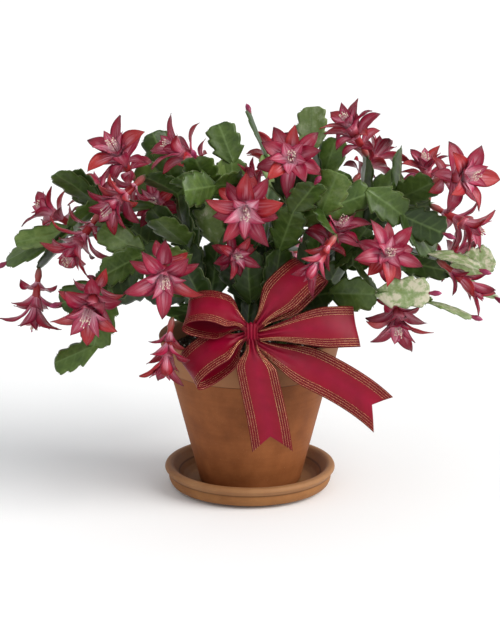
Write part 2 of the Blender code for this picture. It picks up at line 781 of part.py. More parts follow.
class Plant:
    """Grows pads from the roots to every bloom and bare tip, clear of each other."""

    def __init__(self, obstacles):
        self.random = random.Random(SEED)
        self.roots = root_places()
        self.pads = []
        self.blooms = []
        self.missed = []
        self.crowd = Crowd()
        for points, faces in obstacles:
            self.crowd.add(points, faces, "holder")

    # Blooms

    def set_blooms(self):
        for index, (name, throat, facing, openness, size) in enumerate(FRONT_BLOOMS):
            bloom = Bloom(name, Vector(throat) * MM, Vector(facing), openness, size, 0.7 * index)
            self.set_bloom(bloom)
        turn = BACK_FIRST_TURN
        made = 0
        for attempt in range(200):
            if made == BACK_BLOOMS:
                break
            turn = (turn + BACK_TURN) % 180
            height = -0.25 + 1.05 * ((attempt * 0.618) % 1.0)
            bloom = self.back_bloom(math.radians(turn), height, attempt)
            if self.crowd.is_free(*bloom.cage(6 * MM)):
                self.set_bloom(bloom)
                made += 1

    def back_bloom(self, turn, height, attempt):
        """A bloom on the crown's surface at a turn about the pot and a share of its height."""
        level = math.sqrt(max(0.0, 1 - height * height))
        way = Vector((math.cos(turn) * level, math.sin(turn) * level, height))
        throat = CROWN_CENTRE + way * CROWN_REACH
        facing = way + Vector((0.0, 0.0, self.random.uniform(-0.7, 0.2)))
        openness = self.random.choice((0.4, 0.85, 1.0, 1.0))
        return Bloom(f"back_{attempt}", throat, facing, openness, 0.95, 0.9 * attempt)

    def set_bloom(self, bloom):
        if not self.crowd.is_free(*bloom.cage(BLOOM_CLEARANCE)):
            self.missed.append("bloom " + bloom.name)
            return
        self.blooms.append(bloom)
        self.crowd.add(*bloom.cage(BLOOM_CLEARANCE), bloom)

    # Shoots

    def starts(self, stem, target):
        """Joints a shoot to the target may leave from, the best first."""
        choices = []
        for pad in self.pads:
            if pad.has_bloom or pad.children > 2 or pad.stem not in stem:
                continue
            run = target - pad.tip()
            if run.length < 0.8 * PAD_LENGTH:
                continue
            bend = pad.axis().angle(run)
            if bend > math.radians(80):
                continue
            cost = run.length * (1 + 0.35 * bend) + 12 * MM * pad.children
            choices.append((cost, len(choices), pad))
        choices.sort(key=lambda choice: choice[:2])
        return [pad for cost, order, pad in choices[:10]]

    def shoot(self, target, pointing, bloom, tries=50):
        """Grow a run of pads whose last tip is at the target."""
        order = sorted(range(STEM_COUNT), key=lambda stem: self.reach_cost(stem, target))
        used = {pad.stem for pad in self.pads}
        near = order[:3]
        starts = self.starts(set(order[:5]), target)
        fresh = [stem for stem in near if stem not in used][:2]
        options = [(None, stem) for stem in fresh] + [(pad, pad.stem) for pad in starts]
        for parent, stem in options:
            for attempt in range(tries):
                run = self.try_run(parent, stem, target, pointing, bloom, attempt / tries)
                if run:
                    self.keep(run, parent, bloom)
                    return True
        return False

    def reach_cost(self, stem, target):
        """How far a stem's root stands from the way that leads to the target."""
        out = min(1.0, Vector((target.x, target.y)).length / FAR_OUT)
        way = outward_at(target) * ROOT_SPREAD * out
        return (self.roots[stem].xy - way.xy).length

    def try_run(self, parent, stem, target, pointing, bloom, effort):
        draw = self.random.uniform
        loose = (6 + 40 * effort) * MM
        if parent is None:
            start = self.roots[stem] + UP * PEG_ABOVE_SOIL
            leaving = (UP * 1.6 + outward_at(target)).normalized()
        else:
            start = parent.tip()
            leaving = parent.axis()
        span = (target - start).length
        stray_one = Vector((draw(-1, 1), draw(-1, 1), draw(-0.4, 1))) * loose
        stray_two = Vector((draw(-1, 1), draw(-1, 1), draw(-0.4, 1))) * loose
        corners = (start, start + leaving * span * 0.38 + stray_one,
                   target - pointing * span * 0.36 + stray_two, target)
        steps = [bezier(corners, share / 40) for share in range(41)]
        path = [0.0]
        for before, after in zip(steps, steps[1:]):
            path.append(path[-1] + (after - before).length)
        count = max(1, round(path[-1] / (PAD_LENGTH - PAD_SINK)))
        joints = [self.along(steps, path, path[-1] * index / count) for index in range(count + 1)]
        return self.lay_pads(parent, stem, joints, bloom)

    def along(self, steps, path, distance):
        for index in range(1, len(path)):
            if path[index] >= distance - 1e-9:
                part = (distance - path[index - 1]) / (path[index] - path[index - 1])
                return steps[index - 1].lerp(steps[index], part)
        return steps[-1].copy()

    def lay_pads(self, parent, stem, joints, bloom):
        run = []
        before = parent
        for index in range(len(joints) - 1):
            last = index == len(joints) - 2
            ends = (joints[index], joints[index + 1])
            pad = self.fit_pad(before, stem, *ends, run, bloom if last else None)
            if pad is None:
                return None
            run.append(pad)
            before = pad
        return run

    def fit_pad(self, before, stem, start, end, run, bloom, strict=False):
        """A pad from joint to joint, rolled about its axis until it is clear."""
        axis = (end - start).normalized()
        sink = PAD_SINK
        if before is not None:
            bend = before.axis().angle(axis)
            if bend > math.radians(95):
                return None
            sink = PAD_SINK * (0.55 + 0.45 * math.cos(bend))
        middle = (start + end) / 2
        rest = outward_at(middle) * 0.55 + shown_side(middle) * 0.45 + UP * 0.5
        if before is not None:
            rest = rest + before.normal() * 0.5
        length = (end - start).length + sink
        width = PAD_WIDTH * self.random.uniform(0.92, 1.06)
        if before is None:
            width *= 0.62
        if bloom is not None:
            rest = bloom.facing - axis * bloom.facing.dot(axis)
            if rest.length < 0.15:
                rest = outward_at(middle) + UP
        for attempt in range(7):
            spread = 38 if bloom is None else 12
            roll = math.radians(self.random.uniform(-spread, spread) * (1 + 0.35 * attempt))
            normal = Matrix.Rotation(roll, 3, axis) @ rest
            if abs(normal.normalized().dot(axis)) > 0.97:
                continue
            pad = Pad(stem, frame_along(start - axis * sink, axis, normal), length, width, before)
            if self.hides_bloom(pad) and (strict or attempt < 4):
                continue
            if self.is_clear(pad, before, run, bloom):
                return pad
        return None

    def hides_bloom(self, pad):
        middle = pad.frame @ Vector((pad.length / 2, 0, 0))
        for bloom in self.blooms:
            heart = bloom.heart()
            if heart.y < middle.y or heart.y > 60 * MM:
                continue
            if (seen_place(heart) - seen_place(middle)).length < BLOOM_VIEW:
                return True
        return False

    def is_clear(self, pad, before, run, bloom):
        kin = [other for other in self.pads if before is not None and other.parent is before]
        outer = pad.outer_tree(PAD_CLEARANCE)
        if any(outer.overlap(other.outer_tree()) for other in kin):
            return False
        ignored = [before] + kin
        if bloom is not None:
            ignored.append(bloom)
        points, faces = pad.cage(PAD_CLEARANCE)
        if not self.crowd.is_free(points, faces, ignored):
            return False
        tree = BVHTree.FromPolygons(points, faces)
        for other in run:
            if other is before:
                continue
            if tree.overlap(BVHTree.FromPolygons(*other.cage())):
                return False
        return True

    def keep(self, run, parent, bloom):
        if parent is not None:
            parent.children += 1
        for pad in run[:-1]:
            pad.children += 1
        if bloom is not None:
            run[-1].has_bloom = True
        for pad in run:
            self.pads.append(pad)
            self.crowd.add(*pad.cage(), pad)

    def grow(self):
        self.set_blooms()
        goals = []
        for bloom in self.blooms:
            goals.append((bloom.root() - bloom.facing * TIP_GAP, bloom.facing, bloom))
        goals.sort(key=lambda goal: -goal[0].z)
        for tip, pointing in BARE_TIPS:
            goals.append((Vector(tip) * MM, Vector(pointing).normalized(), None))
        for target, pointing, bloom in goals:
            natural = (outward_at(target) + UP * 0.2 * (target.z / (250 * MM))).normalized()
            ending = (pointing + natural * 0.35).normalized()
            if not self.shoot(target, ending, bloom):
                self.missed.append("shoot to " + (bloom.name if bloom else str(tuple(target))))
        self.fill()
        self.set_buds()

    # Side twigs

    def fill(self):
        """Add single pads where the crown is thinnest, until the plant has all its pads."""
        idle = 0
        while len(self.pads) < PAD_LIMIT and idle < 60:
            best = None
            for attempt in range(24):
                twig = self.twig()
                if twig is None:
                    continue
                room = self.room(twig.frame @ Vector((twig.length * 0.6, 0, 0)))
                if best is None or room > best[0]:
                    best = (room, twig)
            if best is None:
                idle += 1
                continue
            self.keep([best[1]], best[1].parent, None)

    def twig(self):
        carrier = self.random.choice(self.pads)
        if carrier.has_bloom or carrier.children > 2:
            return None
        draw = self.random.uniform
        start = carrier.tip()
        away = (start - CROWN_CENTRE).normalized()
        stray = Vector((draw(-1, 1), draw(-1, 1), draw(-0.8, 0.9))) * 0.75
        way = carrier.axis() * 0.8 + away * 0.7 + stray
        way.normalize()
        if carrier.axis().angle(way) > math.radians(72):
            return None
        end = start + way * (PAD_LENGTH - PAD_SINK) * draw(0.85, 1.1)
        if not self.in_crown(end):
            return None
        return self.fit_pad(carrier, carrier.stem, start, end, [], None, strict=True)

    def set_buds(self):
        """A bud on some of the free tips, the ones furthest from the pot's axis first."""
        free = [pad for pad in self.pads if not pad.children and not pad.has_bloom]
        free.sort(key=lambda pad: -(pad.tip() - CROWN_CENTRE).length)
        for pad in free:
            if sum(other.has_bud for other in self.pads) == BUD_LIMIT:
                break
            ignored = [other for other in self.pads if other.stem == pad.stem]
            cage = bud_cage(pad.frame, pad.length, PAD_CLEARANCE)
            if self.crowd.is_free(*cage, ignored) and self.random.random() < 0.6:
                pad.has_bud = True
                self.crowd.add(*cage, pad)

    def in_crown(self, point):
        away = point - CROWN_CENTRE
        share = Vector([part / reach for part, reach in zip(away, CROWN_REACH)])
        return share.length < 1.08 and point.z > 118 * MM

    def room(self, point):
        """Distance to the nearest pad or bloom of the same half, as seen from the front."""
        taken = [pad.frame @ Vector((pad.length * 0.55, 0, 0)) for pad in self.pads]
        taken += [bloom.frame @ Vector((0, 0, TUBE_LENGTH + HEART)) for bloom in self.blooms]
        nearest = 1.0
        for place in taken:
            if shown_side(place) != shown_side(point):
                continue
            apart = place - point
            apart.y *= DEPTH_WEIGHT
            nearest = min(nearest, apart.length)
        return nearest


def cage_of(item):
    """World points and faces of an object, as an obstacle for the plant."""
    mesh = evaluated_mesh(item)
    points = [item.matrix_world @ corner.co for corner in mesh.vertices]
    faces = [tuple(face.vertices) for face in mesh.polygons]
    bpy.data.meshes.remove(mesh)
    return points, faces


def leafy_stem(number, plant, scratch, collection, look):
    root = plant.roots[number]
    foot = Vector((root.x, root.y, SOIL_TOP_Z - PEG_DEPTH))
    top = Vector((root.x, root.y, SOIL_TOP_Z + PEG_ABOVE_SOIL))
    peg = rod("peg", foot, top, PEG_RADIUS, PEG_SIDES, collection)
    peg.data.transform(peg.matrix_world)
    peg.matrix_world = Matrix.Identity(4)
    pieces = [peg]
    for pad in plant.pads:
        if pad.stem == number:
            pieces.append(place("pad", mesh_from("pad", *pad.cage()), collection))
            if pad.has_bud:
                bud = bud_cage(pad.frame, pad.length)
                pieces.append(place("bud", mesh_from("bud", *bud), collection))
    return fused(f"stem_{number + 1:02d}", pieces, scratch, collection, look)


def flower(bloom, scratch, collection, look):
    pieces = []
    for cage in bloom_cages(bloom.openness, bloom.size, bloom.phase):
        piece = mesh_from("petal", *joined([cage], bloom.frame))
        pieces.append(place("petal", piece, collection))
    return fused("bloom_" + bloom.name, pieces, scratch, collection, look)


def build():
    clear_scene()
    model = new_collection("potted_christmas_cactus")
    cutters = new_collection("cutters")
    scratch = new_collection("scratch")
    saucer(model, plain_material("saucer_clay", SAUCER_CLAY))
    pot_body = pot(model, plain_material("pot_clay", POT_CLAY))
    bow_pieces = bow(model, plain_material("ribbon_satin", SATIN))
    pick_body = pick(model, plain_material("pick_wood", PICK_WOOD))
    soil_body = soil(root_places(), model, cutters, plain_material("potting_soil", POTTING_SOIL))
    bpy.context.view_layer.update()

    plant = Plant([cage_of(item) for item in [pot_body, soil_body, pick_body] + bow_pieces])
    plant.grow()
    green = plain_material("cactus_green", CACTUS_GREEN)
    crimson = plain_material("petal_crimson", PETAL_CRIMSON)
    for number in range(STEM_COUNT):
        leafy_stem(number, plant, scratch, model, green)
    for bloom in plant.blooms:
        flower(bloom, scratch, model, crimson)
    bpy.data.collections.remove(scratch)
    return plant


if __name__ == "__main__":
    build()
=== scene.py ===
# Christmas cactus in flower, in a clay pot with its saucer, with a ribbon bow at the front.
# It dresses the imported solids: finer pads, petals, ribbon, clay and soil in the same places.
import json
import math
import random

import bmesh
import bpy
from mathutils import Matrix
from mathutils import Vector

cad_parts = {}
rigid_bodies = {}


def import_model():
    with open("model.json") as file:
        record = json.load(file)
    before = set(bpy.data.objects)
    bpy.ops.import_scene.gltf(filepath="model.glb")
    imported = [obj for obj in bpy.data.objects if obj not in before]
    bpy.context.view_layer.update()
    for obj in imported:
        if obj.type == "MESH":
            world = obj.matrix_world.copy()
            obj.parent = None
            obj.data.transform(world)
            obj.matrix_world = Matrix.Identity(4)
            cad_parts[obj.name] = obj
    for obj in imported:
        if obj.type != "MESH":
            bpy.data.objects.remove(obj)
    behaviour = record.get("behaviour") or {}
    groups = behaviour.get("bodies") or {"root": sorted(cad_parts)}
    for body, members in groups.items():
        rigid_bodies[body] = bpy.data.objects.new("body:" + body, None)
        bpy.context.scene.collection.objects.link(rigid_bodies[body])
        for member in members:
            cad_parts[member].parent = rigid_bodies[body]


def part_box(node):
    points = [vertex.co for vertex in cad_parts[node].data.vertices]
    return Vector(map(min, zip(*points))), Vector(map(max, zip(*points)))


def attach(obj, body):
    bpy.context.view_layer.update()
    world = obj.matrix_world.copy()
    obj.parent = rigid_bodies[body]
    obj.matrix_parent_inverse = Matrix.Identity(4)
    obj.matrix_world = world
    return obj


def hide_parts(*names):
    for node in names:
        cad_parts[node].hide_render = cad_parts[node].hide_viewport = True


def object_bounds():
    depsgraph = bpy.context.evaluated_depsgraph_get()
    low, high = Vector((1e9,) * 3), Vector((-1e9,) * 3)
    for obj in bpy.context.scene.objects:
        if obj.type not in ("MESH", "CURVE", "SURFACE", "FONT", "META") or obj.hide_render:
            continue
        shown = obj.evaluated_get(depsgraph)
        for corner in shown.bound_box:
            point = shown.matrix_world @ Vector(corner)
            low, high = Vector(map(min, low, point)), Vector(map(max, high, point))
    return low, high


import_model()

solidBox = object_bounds()
mm = 0.001
up = Vector((0.0, 0.0, 1.0))
potLow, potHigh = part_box("pot")
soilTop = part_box("soil")[1].z

# Camera, level with the foliage and looking a little down
view = {
    "target": Vector((0.0, 0.0, 0.173)),
    "distance": 2.2,
    "rise": math.radians(15),
    "lens": 132.3,
}


def addCamera():
    lens = bpy.data.cameras.new("frontView")
    lens.lens = view["lens"]
    lens.sensor_width = 36
    camera = bpy.data.objects.new("frontView", lens)
    bpy.context.scene.collection.objects.link(camera)
    back = Vector((0.0, -math.cos(view["rise"]), math.sin(view["rise"])))
    camera.location = view["target"] + back * view["distance"]
    camera.rotation_euler = (-back).to_track_quat("-Z", "Y").to_euler()
    bpy.context.scene.camera = camera


addCamera()
print("camera set")


# Small helpers
def around(turn, radius=1.0, height=0.0):
    return Vector((radius * math.cos(turn), radius * math.sin(turn), height))


def circle(sides, radius, height):
    return [around(2 * math.pi * index / sides, radius, height) for index in range(sides)]


def eased(value):
    value = min(max(value, 0.0), 1.0)
    return value * value * (3 - 2 * value)


# the quads of rows of points, which may close on themselves either way
def gridFaces(rows, columns, closeRows=False, closeColumns=False):
    faces = []
    for row in range(rows - (not closeRows)):
        here, on = row * columns, (row + 1) % rows * columns
        for column in range(columns - (not closeColumns)):
            beside = (column + 1) % columns
            faces.append((here + column, here + beside, on + beside, on + column))
    return faces


# what a mesh's points carry under a label, numbers or vectors
def withLabel(mesh, label, values):
    if isinstance(values[0], Vector):
        layer = mesh.attributes.new(label, "FLOAT_VECTOR", "POINT")
        layer.data.foreach_set("vector", [part for value in values for part in value])
    else:
        mesh.attributes.new(label, "FLOAT", "POINT").data.foreach_set("value", values)
    return mesh


def dropLabels(mesh, labels):
    for label in labels:
        if label in mesh.attributes:
            mesh.attributes.remove(mesh.attributes[label])


# Writes node trees, for geometry and for materials
class TreeMaker:
    def __init__(self, tree, owner=None):
        self.tree = tree
        self.owner = owner

    def feed(self, socket, value):
        if isinstance(value, bpy.types.NodeSocket):
            self.tree.links.new(value, socket)
        elif value is not None:
            socket.default_value = value

    def add(self, kind, values=(), pick=0, **settings):
        node = self.tree.nodes.new(kind)
        for key, value in settings.items():
            setattr(node, key, value)
        if isinstance(values, dict):
            for name, value in values.items():
                self.feed(next(s for s in node.inputs if s.enabled and s.name == name), value)
        else:
            for socket, value in zip([s for s in node.inputs if s.enabled], values):
                self.feed(socket, value)
        return [s for s in node.outputs if s.enabled][pick]

    def math(self, operation, *values, clamp=False):
        return self.add("ShaderNodeMath", values, operation=operation, use_clamp=clamp)

    def plus(self, *values):
        return self.math("ADD", *values)

    def minus(self, *values):
        return self.math("SUBTRACT", *values)

    # value * slope + start
    def line(self, value, slope, start, clamp=False):
        return self.math("MULTIPLY_ADD", value, slope, start, clamp=clamp)

    def split(self, vector):
        node = self.tree.nodes.new("ShaderNodeSeparateXYZ")
        self.feed(node.inputs[0], vector)
        return list(node.outputs)

    def times(self, vector, factor):
        return self.add("ShaderNodeVectorMath", (vector, factor), operation="SCALE")

    def vector(self, operation, *values):
        return self.add("ShaderNodeVectorMath", values, operation=operation)

    def total(self, *values):
        whole = values[0]
        for value in values[1:]:
            whole = self.vector("ADD", whole, value)
        return whole

    def product(self, *values):
        whole = values[0]
        for value in values[1:]:
            whole = self.math("MULTIPLY", whole, value)
        return whole

    def curve(self, value, points):
        node = self.tree.nodes.new("ShaderNodeFloatCurve")
        line = node.mapping.curves[0]
        line.points[0].location = points[0]
        line.points[1].location = points[-1]
        for point in points[1:-1]:
            line.points.new(*point)
        node.mapping.update()
        self.feed(node.inputs["Value"], value)
        return node.outputs["Value"]

    def ramp(self, value, stops):
        node = self.tree.nodes.new("ShaderNodeValToRGB")
        line = node.color_ramp
        line.elements[0].position = stops[0][0]
        line.elements[0].color = (*stops[0][1], 1.0)
        line.elements[1].position = stops[-1][0]
        line.elements[1].color = (*stops[-1][1], 1.0)
        for place, colour in stops[1:-1]:
            line.elements.new(place).color = (*colour, 1.0)
        self.feed(node.inputs["Fac"], value)
        return node.outputs["Color"]

    def blend(self, share, first, second, way="MIX"):
        node = self.tree.nodes.new("ShaderNodeMix")
        node.data_type = "RGBA"
        node.blend_type = way
        for socket, value in zip([s for s in node.inputs if s.enabled], (share, first, second)):
            if isinstance(value, tuple):
                value = (*value, 1.0)
            self.feed(socket, value)
        return next(s for s in node.outputs if s.enabled)

    # colours laid over the base one by one, each with its share
    def over(self, base, *layers):
        for share, colour in layers:
            base = self.blend(share, base, colour)
        return base

    # where the surface is on its piece
    def place(self):
        return self.add("ShaderNodeTexCoord", pick=3)


# Where the pads and blooms stand, which is where the solids have them
padShape = {"thickness": 3.4 * mm, "sink": 6 * mm}
bloomShape = {
    "tubeLength": 36 * mm,
    "heart": 10 * mm,
    # height on the tube, count, length, width, angle at the base and at the tip
    "petalTiers": (
        (15 * mm, 4, 27 * mm, 11.5 * mm, 58, 112),
        (25 * mm, 5, 36 * mm, 14.2 * mm, 48, 92),
        (35 * mm, 5, 40 * mm, 14.6 * mm, 38, 74),
    ),
}
rootShape = {"spread": 46 * mm, "aboveSoil": 8 * mm, "goldenTurn": math.radians(137.508), "firstTurn": 0.4}

# each bloom: name, throat (mm), facing, openness, size; those at the back come last
bloomPlaces = (
    ("crown_left", (-127, -5, 334), (-0.35, -0.55, 0.75), 1.0, 1.0),
    ("top_left", (-71, -52, 344), (-0.85, -0.20, 0.48), 0.8, 1.0),
    ("top_front", (37, -95, 343), (-0.05, -0.93, 0.36), 1.0, 1.05),
    ("top_right", (91, -10, 360), (-0.45, -0.35, 0.82), 0.9, 0.95),
    ("centre", (-4, -125, 299), (0.00, -0.98, -0.12), 1.0, 1.1),
    ("front_left", (-77, -122, 236), (0.10, -0.95, -0.28), 1.0, 1.05),
    ("left_nodding", (-166, -50, 244), (-0.55, -0.45, -0.70), 0.9, 1.05),
    ("left_upper", (-128, -62, 290), (-0.65, -0.55, -0.50), 0.9, 1.0),
    ("left_open", (-147, -112, 202), (-0.20, -0.85, -0.48), 1.0, 1.1),
    ("far_left_hanging", (-205, -20, 174), (-0.10, -0.30, -0.95), 0.9, 1.0),
    ("low_left_half_open", (-78, -110, 153), (-0.15, -0.45, -0.88), 0.6, 0.95),
    ("behind_bow", (-12, -52, 241), (0.30, -0.80, 0.10), 0.8, 0.8),
    ("above_bow_half_open", (56, -132, 248), (-0.50, -0.60, -0.60), 0.35, 0.9),
    ("right_of_centre", (83, -66, 274), (0.40, -0.50, 0.77), 0.9, 0.95),
    ("front_right", (126, -100, 256), (0.20, -0.90, 0.35), 1.0, 0.93),
    ("right_open", (200, -72, 321), (0.60, -0.75, 0.25), 1.0, 1.05),
    ("right_side", (210, -18, 260), (0.85, -0.35, -0.40), 0.8, 1.0),
    ("right_half_open", (209, -60, 212), (0.80, -0.20, -0.58), 0.35, 0.95),
    ("low_right_hanging", (138, -62, 176), (-0.05, -0.72, -0.68), 0.95, 1.05),
    ("narrow_top", (2, -66, 319), (-0.40, -0.40, 0.82), 0.1, 0.8),
    ("far_left_upper", (-196, 20, 271), (-0.80, -0.10, 0.55), 0.8, 0.9),
    ("right_crown", (168, 34, 312), (-0.10, -0.20, 0.95), 0.9, 0.9),
    ("left_inner", (-90, 4, 280), (-0.20, -0.85, 0.40), 0.9, 0.85),
    ("back_0", (52, 160, 180), (0.185, 0.741, -0.646), 1.0, 0.95),
    ("back_1", (-151.3, 106.2, 270.8), (-0.627, 0.564, 0.537), 1.0, 0.95),
    ("back_2", (208.6, 61.4, 214.7), (0.926, 0.337, 0.167), 0.85, 0.95),
    ("back_3", (23.6, 129.6, 305.5), (0.105, 0.750, 0.653), 1.0, 0.95),
    ("back_7", (-191.4, 87.1, 227.9), (-0.775, 0.448, -0.446), 0.4, 0.95),
    ("back_8", (126.4, 63.7, 318.8), (0.629, 0.393, 0.670), 1.0, 0.95),
    ("back_9", (-14.6, 159.8, 262.6), (-0.066, 0.940, 0.336), 0.4, 0.95),
)
frontBlooms = 23
frontPhase, backPhase = 0.7, 0.9

